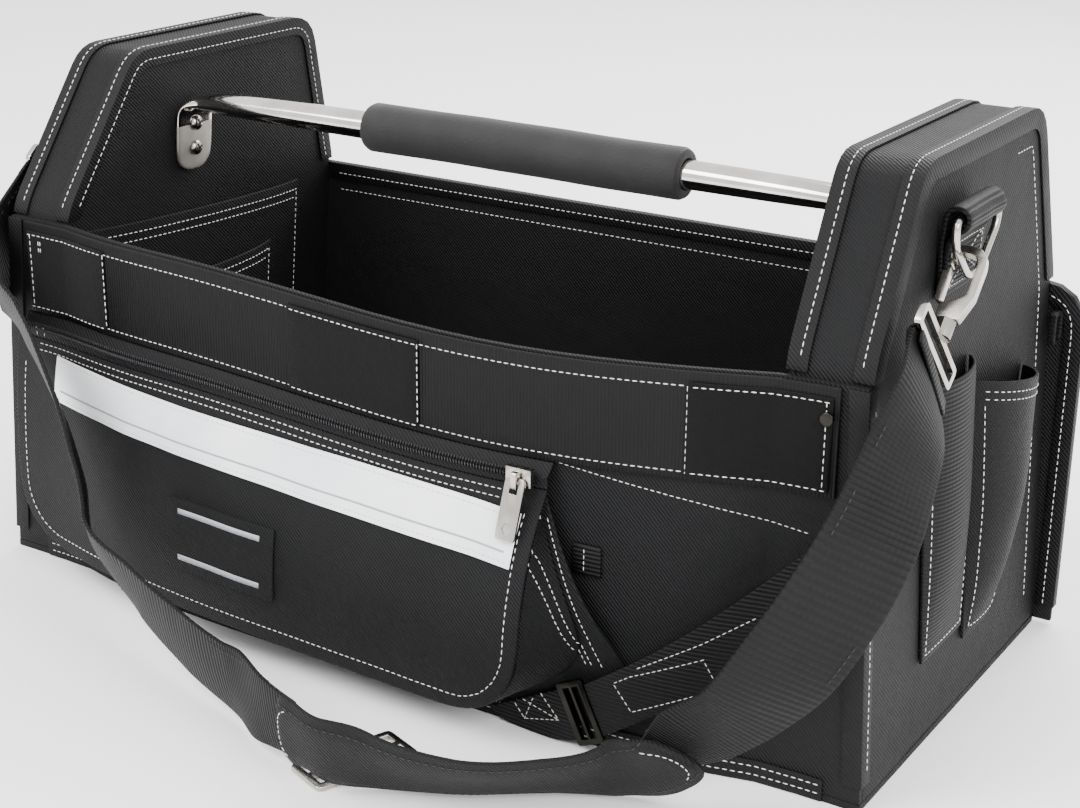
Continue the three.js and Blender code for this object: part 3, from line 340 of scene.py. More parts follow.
def sheet(node, material, look, name=None):
    # A sewn panel: the CAD sheet cut finely, its edges rounded, then rumpled
    bm = copyOf(node)
    for axis in look["cut"]:
        cutAlong(bm, axis, look.get("grid", 9))
    piece = makePiece(bm, name or "sewn_" + node, material, [node])
    soften(piece, look.get("edge", 0.8), 2, look.get("levels", 0))
    if look.get("waves"):
        ripple(piece, look["push"], look["waves"], look.get("keep"))
    return piece


def hardPiece(node, material, width=0.8, segments=3, body="root", levels=0):
    piece = makePiece(copyOf(node), "shaped_" + node, material, [node], body)
    return soften(piece, width, segments, levels)


def shareOf(value, low, high):
    return min(max((value - low) / (high - low), 0), 1)


# Walls and base

wallLook = {"cut": (0, 2), "push": (0, 1, 0), "waves": [(90, 2.2), (28, 0.7)]}
walls = {}


def buildWalls():
    for node, look in {
        "front_wall": {**wallLook, "waves": [(120, 0.25)]},
        "back_wall": {**wallLook, "waves": [(120, 0.25)]},
        "base_panel": {"cut": (0, 1), "push": (0, 0, 1), "waves": []},
    }.items():
        walls[node] = sheet(node, cloth, look)
    for side in ("left", "right"):
        for part in ("inner_panel", "outer_panel"):
            node = side + "_" + part
            walls[node] = sheet(node, cloth, {
                "cut": (1, 2), "push": (1, 0, 0), "waves": [(80, 0.5)]})
        node = side + "_gusset"
        walls[node] = sheet(node, cloth, {"cut": (1, 2, 0), "grid": 12})
    for node in nodes:
        if node.endswith("binding"):
            onTower = node.startswith(("left", "right"))
            walls[node] = sheet(node, grosgrain, {
                "cut": (1, 2) if onTower else (0, 2), "grid": 20, "edge": 0.4})
    print("walls and bindings made")


buildWalls()


# The bag's form, in millimetres, as the solids have it

form = {"half": 262, "innerHalf": 222, "frontTop": 209, "sag": 9, "sagCentre": 60, "sagReach": 200,
        "bandHeight": 54, "zip": 12.6, "splay": {"left": 17, "right": 10},
        "seamTop": 104, "seamBottom": 150, "pocketFoot": 19, "pocketEnd": 112}


def frontTopAt(x):
    share = min(abs(x - form["sagCentre"]) / form["sagReach"], 1)
    return form["frontTop"] - form["sag"] * math.cos(share * math.pi / 2) ** 2


def bandBottomAt(x):
    return frontTopAt(x) - form["bandHeight"]


def faceAt(side, distance, z):  # x of a tower's face that stands distance from the middle at the wall's top
    out = distance + form["splay"][side] * (1 - z / form["frontTop"])
    return out if side == "right" else -out


def roundedOutline(corners, inset=0.0, steps=6):
    # Points round a closed outline of (a, b, radius) corners, moved in by inset
    count = len(corners)
    at = [Vector(corner[:2]) for corner in corners]
    moved = []
    for k in range(count):
        into = (at[k] - at[k - 1]).normalized()
        out = (at[(k + 1) % count] - at[k]).normalized()
        moved.append(at[k] + Vector((-into.y - out.y, into.x + out.x)) * inset / (1 + into.dot(out)))
    points = []
    for k in range(count):
        corner, radius = moved[k], max(corners[k][2] - inset, 0)
        before, after = moved[k - 1] - corner, moved[(k + 1) % count] - corner
        if radius < 0.01:
            points.append(corner)
            continue
        turn = math.pi - before.angle(after)
        reach = min(radius * math.tan(turn / 2), before.length * 0.49, after.length * 0.49)
        start, end = corner + before.normalized() * reach, corner + after.normalized() * reach
        for step in range(steps + 1):
            t = step / steps
            points.append(start * (1 - t) ** 2 + corner * 2 * t * (1 - t) + end * t ** 2)
    return points


def throughPoints(points, share):  # A smooth curve through points, closer to the nearer ones
    last = len(points) - 1
    k = min(int(share * last), last - 1)
    w = share * last - k
    b, c = points[k], points[k + 1]
    a = points[k - 1] if k > 0 else b * 2 - c
    d = points[k + 2] if k + 2 <= last else c * 2 - b
    steps = [max((q - p).length, 1e-9) ** 0.5 for p, q in ((a, b), (b, c), (c, d))]
    before = ((b - a) / steps[0] - (c - a) / (steps[0] + steps[1]) + (c - b) / steps[1]) * steps[1]
    after = ((c - b) / steps[1] - (d - b) / (steps[1] + steps[2]) + (d - c) / steps[2]) * steps[1]
    return (b + before * w + (c * 3 - b * 3 - before * 2 - after) * w ** 2
            + (b * 2 - c * 2 + before + after) * w ** 3)


# Sewing: rows of raised stitches laid on finished pieces

stitchLook = {"pitch": 3.8, "length": 2.9, "width": 0.62, "height": 0.5, "lift": 0.12}


def surfacesOf(pieces):
    bpy.context.view_layer.update()
    graph = bpy.context.evaluated_depsgraph_get()
    return [BVHTree.FromObject(piece, graph) for piece in pieces]


def touch(trees, point, look=None):
    # The point on the pieces that is met when looking along look, or else the nearest one
    best = None
    for tree in trees:
        if look:
            hit = tree.ray_cast(point, look, 0.5)
        else:
            hit = tree.find_nearest(point, 0.02)
        if hit[0] is not None and (best is None or hit[3] < best[3]):
            best = hit
    if best is None:
        return None
    normal = best[1]
    if look and normal.dot(look) > 0:
        normal = -normal
    return best[0], normal


def evenly(points, pitch):  # Points at an even pitch along a polyline, with the direction at each
    out, carry = [], pitch / 2
    for a, b in zip(points, points[1:]):
        length = (b - a).length
        if length < 1e-6:
            continue
        way = (b - a) / length
        while carry <= length:
            out.append((a + way * carry, way))
            carry += pitch
        carry -= length
    return out


def sew(name, targets, rows, look=None, material=None, scale=1.0, body="root"):
    # rows are polylines in millimetres; look is the way to look onto the targets
    trees = surfacesOf(targets)
    bm = bmesh.new()
    direction = Vector(look) if look else None
    for row in rows:
        for point, way in evenly([Vector(p) for p in row], stitchLook["pitch"] * scale):
            start = point * mm
            met = touch(trees, start, direction)
            if met is None:
                continue
            at, normal = met
            ahead = touch(trees, start + way * mm, direction)
            along = (ahead[0] - at) if ahead else way * mm
            along = (along - normal * along.dot(normal)).normalized()
            side = normal.cross(along)
            if along.length < 0.5 or side.length < 0.5:
                continue
            turn = Matrix((along, side, normal)).transposed().to_4x4()
            reach = [stitchLook[key] * scale / 2 * mm for key in ("length", "width", "height")]
            size = Matrix.Diagonal((*reach, 1))
            place = Matrix.Translation(at + normal * stitchLook["lift"] * mm) @ turn @ size
            bmesh.ops.create_uvsphere(bm, u_segments=6, v_segments=4, radius=1, matrix=place)
    return makePiece(bm, "stitches_" + name, material or thread, body=body, sharp=80)


def layStrip(name, target, row, width, lift, thick, material, look):
    # A thin strip laid along a row on a piece, such as a printed bar or a sewn tape
    trees = surfacesOf([target])
    places = evenly([Vector(p) for p in row], 3.0)
    bm = bmesh.new()
    bmesh.ops.create_grid(bm, x_segments=len(places) - 1, y_segments=2, size=1)
    bm.verts.ensure_lookup_table()
    for v in bm.verts:
        k = round((v.co.x + 1) / 2 * (len(places) - 1))
        place, way = places[k]
        met = touch(trees, place * mm, Vector(look))
        side = met[1].cross(way).normalized()
        spot = touch(trees, (place + side * v.co.y * width / 2) * mm, Vector(look)) or met
        v.co = spot[0] + spot[1] * lift * mm
    bmesh.ops.recalc_face_normals(bm, faces=bm.faces)
    piece = makePiece(bm, name, material)
    thicken(piece, thick)
    return settle(piece)


def wire(name, points, radius, material, stands=(), closed=True):
    curve = bpy.data.curves.new(name, "CURVE")
    curve.dimensions = "3D"
    curve.bevel_depth = radius * mm
    curve.bevel_resolution = 5
    curve.use_fill_caps = True
    spline = curve.splines.new("POLY")
    spline.points.add(len(points) - 1)
    spline.use_cyclic_u = closed
    for spot, point in zip(spline.points, points):
        spot.co = (*(Vector(point) * mm), 1)
    holder = bpy.data.objects.new(name + "_curve", curve)
    bpy.context.scene.collection.objects.link(holder)
    bpy.context.view_layer.update()
    mesh = bpy.data.meshes.new_from_object(holder)
    bpy.data.objects.remove(holder)
    bm = bmesh.new()
    bm.from_mesh(mesh)
    bmesh.ops.remove_doubles(bm, verts=bm.verts, dist=1e-6)
    bmesh.ops.recalc_face_normals(bm, faces=bm.faces)
    return makePiece(bm, name, material, stands, sharp=60)


# Front: band, patches, sleeve, zip pocket

front = {}
frontLook = {"cut": (0, 2), "push": (0, 1, 0)}
pocketWaves = [(75, 2.4), (30, 0.7)]  # for the pocket and what is sewn on it
ahead = (0, 1, 0)
farOut = 400  # where the rows of stitches start on their way to the bag


def curvedSheet(node, material, edge=0.7, levels=2, waves=(), keep=None, push=(0, 1, 0)):
    # A bent sheet: its quads are found again, its edges held by a bevel, then it is smoothed and rumpled
    piece = makePiece(quadsOf(node, 30, 50), "sewn_" + node, material, [node])
    soften(piece, edge, 2, levels, angle=50)
    if waves:
        ripple(piece, push, waves, keep)
    return piece


def buildFront():
    front["band"] = sheet("front_band", bandWebbing, {
        **frontLook, "edge": 0.6, "waves": [(60, 0.3)]})
    for node in ("patch_left", "patch_middle", "patch_right"):
        front[node] = sheet(node, pile, {**frontLook, "edge": 0.5, "waves": [(30, 0.3)]})
    front["rivet"] = hardPiece("front_rivet", gunmetal, 0.7)
    front["sleeve"] = curvedSheet("saw_sleeve_panel", cloth, waves=[(70, 2.5)],
                                  keep=lambda co: shareOf(co.z, 0.14, 0.11) * shareOf(co.x, 0.16, 0.1) * 0.6)
    front["tab"] = sheet("sleeve_tab", levelWebbing, {**frontLook, "edge": 0.4})
    low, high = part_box("zip_pocket_panel")
    inside = lambda co: (shareOf(co.z, low.z, low.z + 0.02) * shareOf(co.z, high.z, high.z - 0.02)
                         * shareOf(co.x, low.x, low.x + 0.04) * shareOf(co.x, high.x, high.x - 0.03))
    front["pocket"] = curvedSheet("zip_pocket_panel", cloth, edge=0.8,
                                  waves=pocketWaves, keep=inside)
    front["gusset"] = curvedSheet("zip_pocket_gusset", cloth, edge=0.5, levels=1)
    front["zipTape"] = curvedSheet("zip_tape", grosgrain, edge=0.4, levels=1)
    front["stripe"] = curvedSheet("reflective_stripe", tapeWhite, edge=0.15,
                                  waves=pocketWaves, keep=inside)
    front["label"] = curvedSheet("label_patch", cloth, edge=0.3,
                                 waves=pocketWaves, keep=inside)
    print("front made")


def zipRow(x):  # height of the zip's teeth
    return bandBottomAt(x) - coilLook["below"]


coilLook = {"pitch": 1.7, "reach": 2.6, "from": -250, "to": 90, "below": 6.3}


def buildZip():
    trees = surfacesOf([front["zipTape"]])
    bm = bmesh.new()
    count = int((coilLook["to"] - coilLook["from"]) / coilLook["pitch"])
    for k in range(count):
        x = coilLook["from"] + k * coilLook["pitch"]
        met = touch(trees, Vector((x, -farOut, zipRow(x))) * mm, Vector(ahead))
        if met is None:
            continue
        for half in (-1, 1):
            place = met[0] + met[1] * 0.3 * mm + Vector((half * 0.22, 0, half * coilLook["reach"] / 2)) * mm
            size = Matrix.Diagonal((0.42 * mm, 0.75 * mm, coilLook["reach"] / 1.8 * mm, 1))
            lean = Matrix.Rotation(half * 0.25, 4, "Y")
            bmesh.ops.create_uvsphere(bm, u_segments=6, v_segments=4, radius=1,
                                      matrix=Matrix.Translation(place) @ lean @ size)
    makePiece(bm, "zip_coil", coilPlastic, sharp=80)
    hardPiece("zip_slider", nickel, 0.7)
    hardPiece("zip_pull", nickel, 0.45, body="zip_pull")
    print("zip made")


def before(*spots):  # A row in front of the bag through (x, z) spots
    return [(x, -farOut, z) for x, z in spots]


def rowAt(heightAt, low, high, step=8):
    count = max(int((high - low) / step), 1)
    places = [low + (high - low) * k / count for k in range(count + 1)]
    return before(*[(x, heightAt(x)) for x in places])


def arc(centre, radius, start, end, steps=8):  # (x, z) spots on a round corner, angles in degrees
    turns = [math.radians(start + (end - start) * k / steps) for k in range(steps + 1)]
    return [(centre[0] + radius * math.cos(t), centre[1] + radius * math.sin(t)) for t in turns]


def seamAt(z):  # x where the pocket's side strip meets the sleeve, at a height
    top = bandBottomAt(form["pocketEnd"]) - form["zip"]
    return form["seamTop"] + (form["seamBottom"] - form["seamTop"]) * (top - z) / (top - form["pocketFoot"])


def sewFront():
    band = [rowAt(lambda x: frontTopAt(x) - 8, -247, 247), rowAt(lambda x: bandBottomAt(x) + 4, -247, 247)]
    for x in (-244.5, -181, -47, 34, 180, 244.5):
        band.append(before((x, bandBottomAt(x) + 5), (x, frontTopAt(x) - 9)))
    for x in (-238, -236.5):
        band.append(before((x, frontTopAt(x) - 18), (x, frontTopAt(x) - 10)))
    patches = [front[key] for key in ("patch_left", "patch_middle", "patch_right")]
    sew("band", [front["band"], *patches], band, ahead)
    hem = [rowAt(lambda x: bandBottomAt(x) - form["zip"] - drop, -238, 92) for drop in (3, 6.5)]
    border = before((-248, 128), *arc((-218, 57), 30, 180, 270), *arc((74, 57), 30, 270, 360), (104, 126))
    sew("pocket", [front["pocket"]], [*hem, border], ahead)
    edges = [before((-218, 112.5), (100, 101)), before((-218, 133.8), (100, 121))]
    sew("stripe", [front["stripe"]], edges, ahead, scale=0.8)
    sides = [before(*[(seamAt(z) + out, z) for z in range(124, 40, -6)]) for out in (-6, -3, 2.5)]
    sew("gusset", [front["gusset"], front["sleeve"]], sides, ahead, scale=0.85)
    sew("tab", [front["tab"]], [before((129, 94), (129, 106))], ahead, scale=0.8)
    hems = [rowAt(lambda x: z, -250, 250) for z in (4.5, 9)]
    sew("base", [walls["base_binding"]], hems, ahead)
    seam = [before((100, 148), (180, 141), (238, 135))]
    sew("sleeve_top", [front["sleeve"], walls["front_wall"]], seam, ahead, scale=0.85)
    ends = [before((x, 150), (x, 137)) for x in (-240, -234)]
    sew("zip_end", [front["zipTape"]], ends, ahead, scale=0.85)
    line = before((-218, 117), (100, 105.5))
    layStrip("stripe_grey_line", front["stripe"], line, 1.0, 0.1, 0.12, greyPrint, ahead)
    for z in (51, 77):
        row = before((-112, z), (-48, z))
        layStrip("label_bar_%d" % z, front["label"], row, 3.0, 0.12, 0.15, greyPrint, ahead)
    print("front sewn")


# Towers: stitches round both edges

towerCorners = [(-118.7, 4.3, 0), (118.7, 4.3, 0), (118.7, 201, 50), (92, 297, 22), (-64, 297, 22),
                (-118.7, 213, 40)]


def towerRow(side, distance, inset, lowest):
    # A row round a tower's face, moved in by inset; lowest gives the height where it ends, from y
    points = roundedOutline(towerCorners, inset, 8)
    start = min(range(len(points)), key=lambda k: points[k].y + (0 if points[k].x > 0 else 500))
    points = points[start:] + points[:start]
    row = [Vector((faceAt(side, distance, p.y), p.x, p.y)) for p in points]
    fine = [row[0]]
    for a, b in zip(row, row[1:]):
        count = max(int((b - a).length / 6), 1)
        fine += [a.lerp(b, k / count) for k in range(1, count + 1)]
    return [p for p in fine if lowest(p.y) < p.z]


def sewTowers():
    above = lambda y: 214 if y < 0 else 203
    for side in ("left", "right"):
        sign = 1 if side == "right" else -1
        inner, outer = walls[side + "_inner_binding"], walls[side + "_outer_binding"]
        sew(side + "_tower_edges", [inner, outer], [
            towerRow(side, form["innerHalf"] + 5, -1.3, above), towerRow(side, form["half"] - 5, -1.3, above),
            towerRow(side, form["innerHalf"] - 1.3, 5, above)])
        facing = (-sign, 0, 0)
        start = form["half"] + 60
        sew(side + "_tower_outer", [walls[side + "_outer_panel"]], [
            towerRow(side, start, 18, lambda y: 20 if y > 55 else farOut)], facing)
        corner = walls[side + "_corner_binding"]
        rows = [[(faceAt(side, start, z), -117, z) for z in (20, 100, 200)]]
        sew(side + "_corner_end", [corner], rows, facing)
    back = walls["back_wall"]
    rows = [[(-215, 60, z), (215, 60, z)] for z in (181, 192)]
    sew("back_top", [back, walls["back_binding"]], rows, ahead)
    outline = [(-282, 2, 0), (282, 2, 0), (282, 197, 26), (-282, 197, 26)]
    rings = [[Vector((p.x, 200, p.y)) for p in roundedOutline(outline, inset)] for inset in (5, 16)]
    sew("back_face", [back, walls["back_binding"]], [ring + ring[:1] for ring in rings], (0, -1, 0))
    wing = [Vector((p.x, 60, p.z)) for p in rings[0] if p.x > 0 and p.z > 150]
    sew("wing", [back, walls["back_binding"]], [wing, [(277, 60, 12), (277, 60, 172)]], ahead)
    print("towers and back sewn")


# Handle

gripLook = {"length": 198, "across": 27, "bore": 16.6, "roll": 3.0, "middle": (14, -16, 263),
            "plateTop": 250}
screwLook = {"across": 9, "high": 2.6, "slot": 1.1, "slotLength": 5.2}


def buildHandle():
    look = gripLook
    tube = makePiece(quadsOf("handle_tube", 40, 60), "bent_tube", chrome, ["handle_tube"])
    tube.data.materials.append(brushed)
    for face in tube.data.polygons:
        if face.center.z < look["plateTop"] * mm:
            face.material_index = 1
    soften(tube, 0.5, 2, 2, angle=60)
    half, skin = look["length"] / 2, look["across"] / 2
    bore, roll = look["bore"] / 2, look["roll"]
    profile = [(-half, bore), (-half, skin - roll), (-half + roll * 0.3, skin - roll * 0.35),
               (-half + roll, skin), (half - roll, skin), (half - roll * 0.3, skin - roll * 0.35),
               (half, skin - roll), (half, bore)]
    bm = bmesh.new()
    spots = [bm.verts.new(Vector((x, 0, r)) * mm) for x, r in profile]
    edges = [bm.edges.new(pair) for pair in zip(spots, spots[1:] + spots[:1])]
    bmesh.ops.spin(bm, geom=spots + edges, cent=(0, 0, 0), axis=(1, 0, 0), angle=2 * math.pi, steps=48,
                   use_merge=True)
    bmesh.ops.remove_doubles(bm, verts=bm.verts, dist=1e-6)
    cutAlong(bm, 0, 12)
    bmesh.ops.translate(bm, verts=bm.verts, vec=Vector(look["middle"]) * mm)
    bmesh.ops.recalc_face_normals(bm, faces=bm.faces)
    grip = makePiece(bm, "foam_sleeve", foamSkin, ["handle_grip"])
    for v in grip.data.vertices:
        wobble = noise.noise(v.co / (45 * mm)) * 0.5 * mm
        v.co.y += wobble
        v.co.z += wobble
    for node in ("left_screw_1", "left_screw_2", "right_screw_1", "right_screw_2"):
        buildScrew(node)
    print("handle made")


def buildScrew(node):
    low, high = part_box(node)
    sign = -1 if "left" in node else 1
    middle = (low + high) / 2
    seat = high.x if sign > 0 else low.x
    bm = bmesh.new()
    bmesh.ops.create_uvsphere(bm, u_segments=28, v_segments=14, radius=1)
    bmesh.ops.bisect_plane(bm, geom=bm.verts[:] + bm.edges[:] + bm.faces[:], plane_co=(0, 0, 0),
                           plane_no=(0, 0, -1), clear_outer=True)
    bmesh.ops.holes_fill(bm, edges=bm.edges)
    radius = screwLook["across"] / 2 * mm
    size = Matrix.Diagonal((radius, radius, screwLook["high"] * mm, 1))
    turn = Matrix.Rotation(-sign * math.pi / 2, 4, "Y")
    place = Matrix.Translation((seat, middle.y, middle.z)) @ turn
    bmesh.ops.transform(bm, matrix=place @ size, verts=bm.verts)
    makePiece(bm, "round_" + node, nickel, [node], sharp=40)
    bm = bmesh.new()
    for angle in (0.4, 0.4 + math.pi / 2):
        cut = Matrix.Diagonal((screwLook["slotLength"] * mm, screwLook["slot"] * mm, 0.8 * mm, 1))
        lift = Matrix.Translation((0, 0, screwLook["high"] * mm * 0.88))
        bmesh.ops.create_cube(bm, size=1, matrix=place @ Matrix.Rotation(angle, 4, "Z") @ lift @ cut)
    makePiece(bm, "cross_" + node, darkCavity, sharp=30)


# Strap hardware on both ends

ringLook = {"centreY": -27, "topZ": 270, "wide": 27, "upper": 11, "lower": 7, "drop": 30, "wire": 4}
tabLook = {"from": -50, "to": -4, "foot": 231, "roll": (8.0, 270), "radius": 5.6, "thick": 2.3,
           "inside": 0.3, "steps": 90}


def buildTab(side):
    # A strip of webbing up the face, round the ring's bar in a fat roll and down again over itself
    look = tabLook
    low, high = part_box(side + "_ring_tab")
    sign = 1 if side == "right" else -1
    face = (low.x if sign > 0 else -high.x) / mm - look["inside"]
    outward, level = look["roll"]
    path = [(1.5, look["foot"]), (1.5, 245), (1.5, 258), (1.9, 265)]
    for degrees in range(165, -76, -15):
        turn = math.radians(degrees)
        path.append((outward + look["radius"] * math.cos(turn), level + look["radius"] * math.sin(turn)))
    path += [(6.2, 261.5), (4.6, 257), (4.1, 250), (4.1, 240), (4.1, 234)]
    spots = [Vector((face + out, 0, z)) for out, z in path]
    bm = bmesh.new()
    bmesh.ops.create_grid(bm, x_segments=look["steps"], y_segments=10, size=1)
    for v in bm.verts:
        spot = throughPoints(spots, (v.co.x + 1) / 2)
        sag = noise.noise(Vector((spot.z / 9, v.co.y * 1.5, sign))) * 0.5
        across = look["from"] + (look["to"] - look["from"]) * (v.co.y + 1) / 2
        v.co = Vector((sign * (spot.x + sag), across, spot.z)) * mm
    bmesh.ops.recalc_face_normals(bm, faces=bm.faces)
    piece = makePiece(bm, side + "_rolled_tab", levelWebbing, [side + "_ring_tab"])
    thicken(piece, look["thick"])
    soften(piece, 0.5, 2)
    out = sign * farOut
    box = [(out, -46, 257), (out, -8, 257), (out, -8, 237), (out, -46, 237), (out, -46, 257)]
    cross = [[(out, -46, 257), (out, -8, 237)], [(out, -46, 237), (out, -8, 257)]]
    sew(side + "_ring_tab", [piece], [box, *cross], (-sign, 0, 0), scale=0.85)


def buildHardware():
    look = ringLook
    y, z, wide = look["centreY"], look["topZ"], look["wide"]
    corners = [(y - wide, z, 4), (y - wide, z - look["upper"], 18), (y - look["lower"], z - look["drop"], 14),
               (y + look["lower"], z - look["drop"], 14), (y + wide, z - look["upper"], 18), (y + wide, z, 4)]
    for side in ("left", "right"):
        low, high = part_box(side + "_d_ring")
        x = (low.x + high.x) / 2 / mm
        points = [(x, p.x, p.y) for p in roundedOutline(corners, 0, 7)]
        wire(side + "_ring_wire", points, look["wire"] / 2, nickel, [side + "_d_ring"])
        buildTab(side)
        hardPiece(side + "_hook_body", nickel, 1.9, 5)
        hardPiece(side + "_hook_gate", nickel, 0.9, 3, side + "_gate")
        hardPiece(side + "_hook_swivel", nickel, 1.3, 4)
    print("strap hardware made")


# Shoulder strap: stations hold the middle of the band and the way its width runs

leftStations = [
    (-273.5, -81.8, 213.9, 0.05, -0.64, 0.76), (-273, -115, 188, 0.12, -0.65, 0.62),
    (-257, -142, 177, 0.55, -0.60, 0.55), (-228, -153, 160, 0.72, -0.60, 0.42),
    (-195, -165, 132, 0.65, -0.64, 0.41), (-166, -178, 94, 0.60, -0.68, 0.43),
    (-143, -194, 66, 0.66, -0.62, 0.41), (-101, -207, 50, 0.74, -0.48, 0.47),
    (-60, -216, 37, 0.62, -0.40, 0.66), (-20, -226, 30, 0.66, -0.40, 0.64),
    (7, -236, 29, 0.56, -0.30, 0.76), (38, -243.9, 28.2, 0.54, -0.29, 0.78)]
padPlaces = [
    (33, -254, 36, 0.00, -0.30, 0.94), (42, -254, 34, -0.04, -0.35, 0.92),
    (57, -252, 29, -0.05, -0.42, 0.88), (78, -241, 23, 0.14, -0.50, 0.85),
    (118, -224, 20, 0.28, -0.62, 0.73), (152, -200, 20, 0.34, -0.58, 0.74),
    (176, -184, 23, 0.20, -0.48, 0.83), (195, -181, 31, -0.10, -0.56, 0.80),
    (205, -180, 40, -0.28, -0.60, 0.72)]
rightStations = [
    (197, -174, 34, -0.22, -0.60, 0.76), (210, -171, 46, -0.35, -0.62, 0.66),
    (232, -168, 64, -0.42, -0.66, 0.62), (258, -166, 102, -0.55, -0.49, 0.67),
    (279, -150, 152, -0.50, -0.60, 0.60), (283, -131, 182, -0.36, -0.62, 0.68),
    (283, -113, 198, -0.25, -0.58, 0.76), (273.5, -85.5, 210.3, -0.05, -0.64, 0.76)]
strapLook = {"width": 50, "thick": 2, "steps": 150, "across": 8, "floor": 0.5, "tuck": 0.3,
             "tuckedFrom": 0.86}
padLook = {"width": 51, "thick": 6.5, "steps": 110, "across": 14, "round": 22}


def frameAt(stations, share):
    middle = throughPoints([Vector(s[:3]) for s in stations], share)
    ahead = throughPoints([Vector(s[:3]) for s in stations], min(share + 0.004, 1))
    behind = throughPoints([Vector(s[:3]) for s in stations], max(share - 0.004, 0))
    along = (ahead - behind).normalized()
    edge = throughPoints([Vector(s[3:]) for s in stations], share)
    edge = (edge - along * edge.dot(along)).normalized()
    return middle, along, edge, along.cross(edge).normalized()


def lengthOf(stations):
    spots = [throughPoints([Vector(s[:3]) for s in stations], k / 60) for k in range(61)]
    return sum((b - a).length for a, b in zip(spots, spots[1:]))


def buildRibbon(name, stations, material, node, padAtStart):
    # A length of webbing, narrower where it is tucked behind the pad
    look = strapLook
    frames = [frameAt(stations, k / look["steps"]) for k in range(look["steps"] + 1)]
    bm = bmesh.new()
    bm.loops.layers.uv.new("UVMap")
    bmesh.ops.create_grid(bm, x_segments=look["steps"], y_segments=look["across"], size=1, calc_uvs=True)
    for v in bm.verts:
        k = round((v.co.x + 1) / 2 * look["steps"])
        middle, along, edge, face = frames[k]
        cup = (1 - v.co.y ** 2) * 0.8
        toPad = 1 - k / look["steps"] if padAtStart else k / look["steps"]
        width = look["width"] * (1 - look["tuck"] * shareOf(toPad, look["tuckedFrom"], 1))
        spot = middle + edge * v.co.y * width / 2 + face * cup
        spot += face * noise.noise(spot / 40) * 1.2
        spot.z = max(spot.z, look["floor"] + look["thick"] / 2)
        v.co = spot * mm
    piece = makePiece(bm, name, material, [node])
    thicken(piece, look["thick"])
    return soften(piece, 0.5, 2)


foldLook = {"width": 45, "thick": 1.4, "round": 3.1, "bar": 1.8, "legs": 9, "steps": 14}


def buildFold(name, stations, atStart, material, node):
    # The strap's end, turned round the bar of its hook's loop
    look = foldLook
    middle, along, edge, face = frameAt(stations, 0 if atStart else 1)
    outward = along * (-1 if atStart else 1)
    bar = middle + outward * look["bar"]
    turn = [math.pi * (k / look["steps"] - 0.5) for k in range(look["steps"] + 1)]
    path = [bar + (outward * math.cos(t) + face * math.sin(t)) * look["round"] for t in turn]
    path = [path[0] - outward * look["legs"], *path, path[-1] - outward * look["legs"]]
    bm = bmesh.new()
    near, far = [[bm.verts.new((p + edge * half * look["width"] / 2) * mm) for p in path] for half in (-1, 1)]
    for k in range(len(path) - 1):
        bm.faces.new((near[k], near[k + 1], far[k + 1], far[k]))
    piece = makePiece(bm, name, material, [node])
    thicken(piece, look["thick"])
    return soften(piece, 0.3, 1)


def buildPad():
    look = padLook
    total = lengthOf(padPlaces)
    frames = [frameAt(padPlaces, k / look["steps"]) for k in range(look["steps"] + 1)]
    bm = bmesh.new()
    bm.loops.layers.uv.new("UVMap")
    bmesh.ops.create_grid(bm, x_segments=look["steps"], y_segments=look["across"], size=1, calc_uvs=True)
    shell = bmesh.ops.extrude_face_region(bm, geom=bm.faces[:])
    upper = {v for v in shell["geom"] if isinstance(v, bmesh.types.BMVert)}
    for v in bm.verts:
        share = (v.co.x + 1) / 2
        middle, along, edge, face = frames[round(share * look["steps"])]
        fromEnd = min(share, 1 - share) * total
        bend = math.sqrt(max(1 - max(1 - fromEnd / look["round"], 0) ** 2, 0))
        across = v.co.y * look["width"] / 2 * (0.2 + 0.8 * bend)
        inset = min(1 - abs(v.co.y), fromEnd / (look["width"] / 2))
        crown = min(inset / 0.5, 1) ** 0.5
        pinch = 0.55 if abs(inset - 0.2) < 0.07 else 1.0
        side = 1 if v in upper else -1
        spot = middle + edge * across + face * side * look["thick"] / 2 * (0.25 + 0.75 * crown * pinch)
        spot += face * noise.noise(spot / 30) * 1.0
        spot.z = max(spot.z, strapLook["floor"])
        v.co = spot * mm
    bmesh.ops.recalc_face_normals(bm, faces=bm.faces)
    pad = makePiece(bm, "shoulder_pad", cloth, ["strap_pad"], sharp=70)
    soften(pad, 0.6, 2)
    rows = []
    for half in (-1, 1):
        row = []
        for k in range(4, look["steps"] - 3):
            middle, along, edge, face = frames[k]
            row.append(middle + edge * half * (look["width"] / 2 - 6) + face * 3)
        rows.append(row)
    sew("pad_edge", [pad], rows, material=darkThread)
    arcs = []
    for back in (False, True):
        curve = []
        for k in range(-10, 11):
            reach = 7 + 18 * (1 - math.sqrt(1 - (k / 10.5) ** 2))
            share = reach / total
            middle, along, edge, face = frameAt(padPlaces, 1 - share if back else share)
            curve.append(middle + edge * k / 10 * (look["width"] / 2 - 8) + face * 3)
        arcs.append(curve)
    sew("pad_ends", [pad], arcs)


def buildStraps():
    for name, stations, node in (("strap_left", leftStations, "shoulder_strap_left"),
                                 ("strap_right", rightStations, "shoulder_strap_right")):
        stretch = (lengthOf(stations) * mm, strapLook["width"] * mm, 1)
        webbing = ribbed(name + "_webbing", "X", 2.6, "UV", stretch, depth=0.7)
        piece = buildRibbon(name, stations, webbing, node, stations is rightStations)
        spots = [frameAt(stations, k / 80) for k in range(2, 79)]
        rows = [[middle + edge * half * 20 for middle, along, edge, face in spots] for half in (-1, 1)]
        sew(name + "_edges", [piece], rows, material=darkThread)
        buildFold(name + "_fold", stations, stations is leftStations, levelWebbing, node)
    buildPad()
    hardPiece("strap_slider", nickel, 0.8)
    print("shoulder strap made")


# Saw strap and end pockets

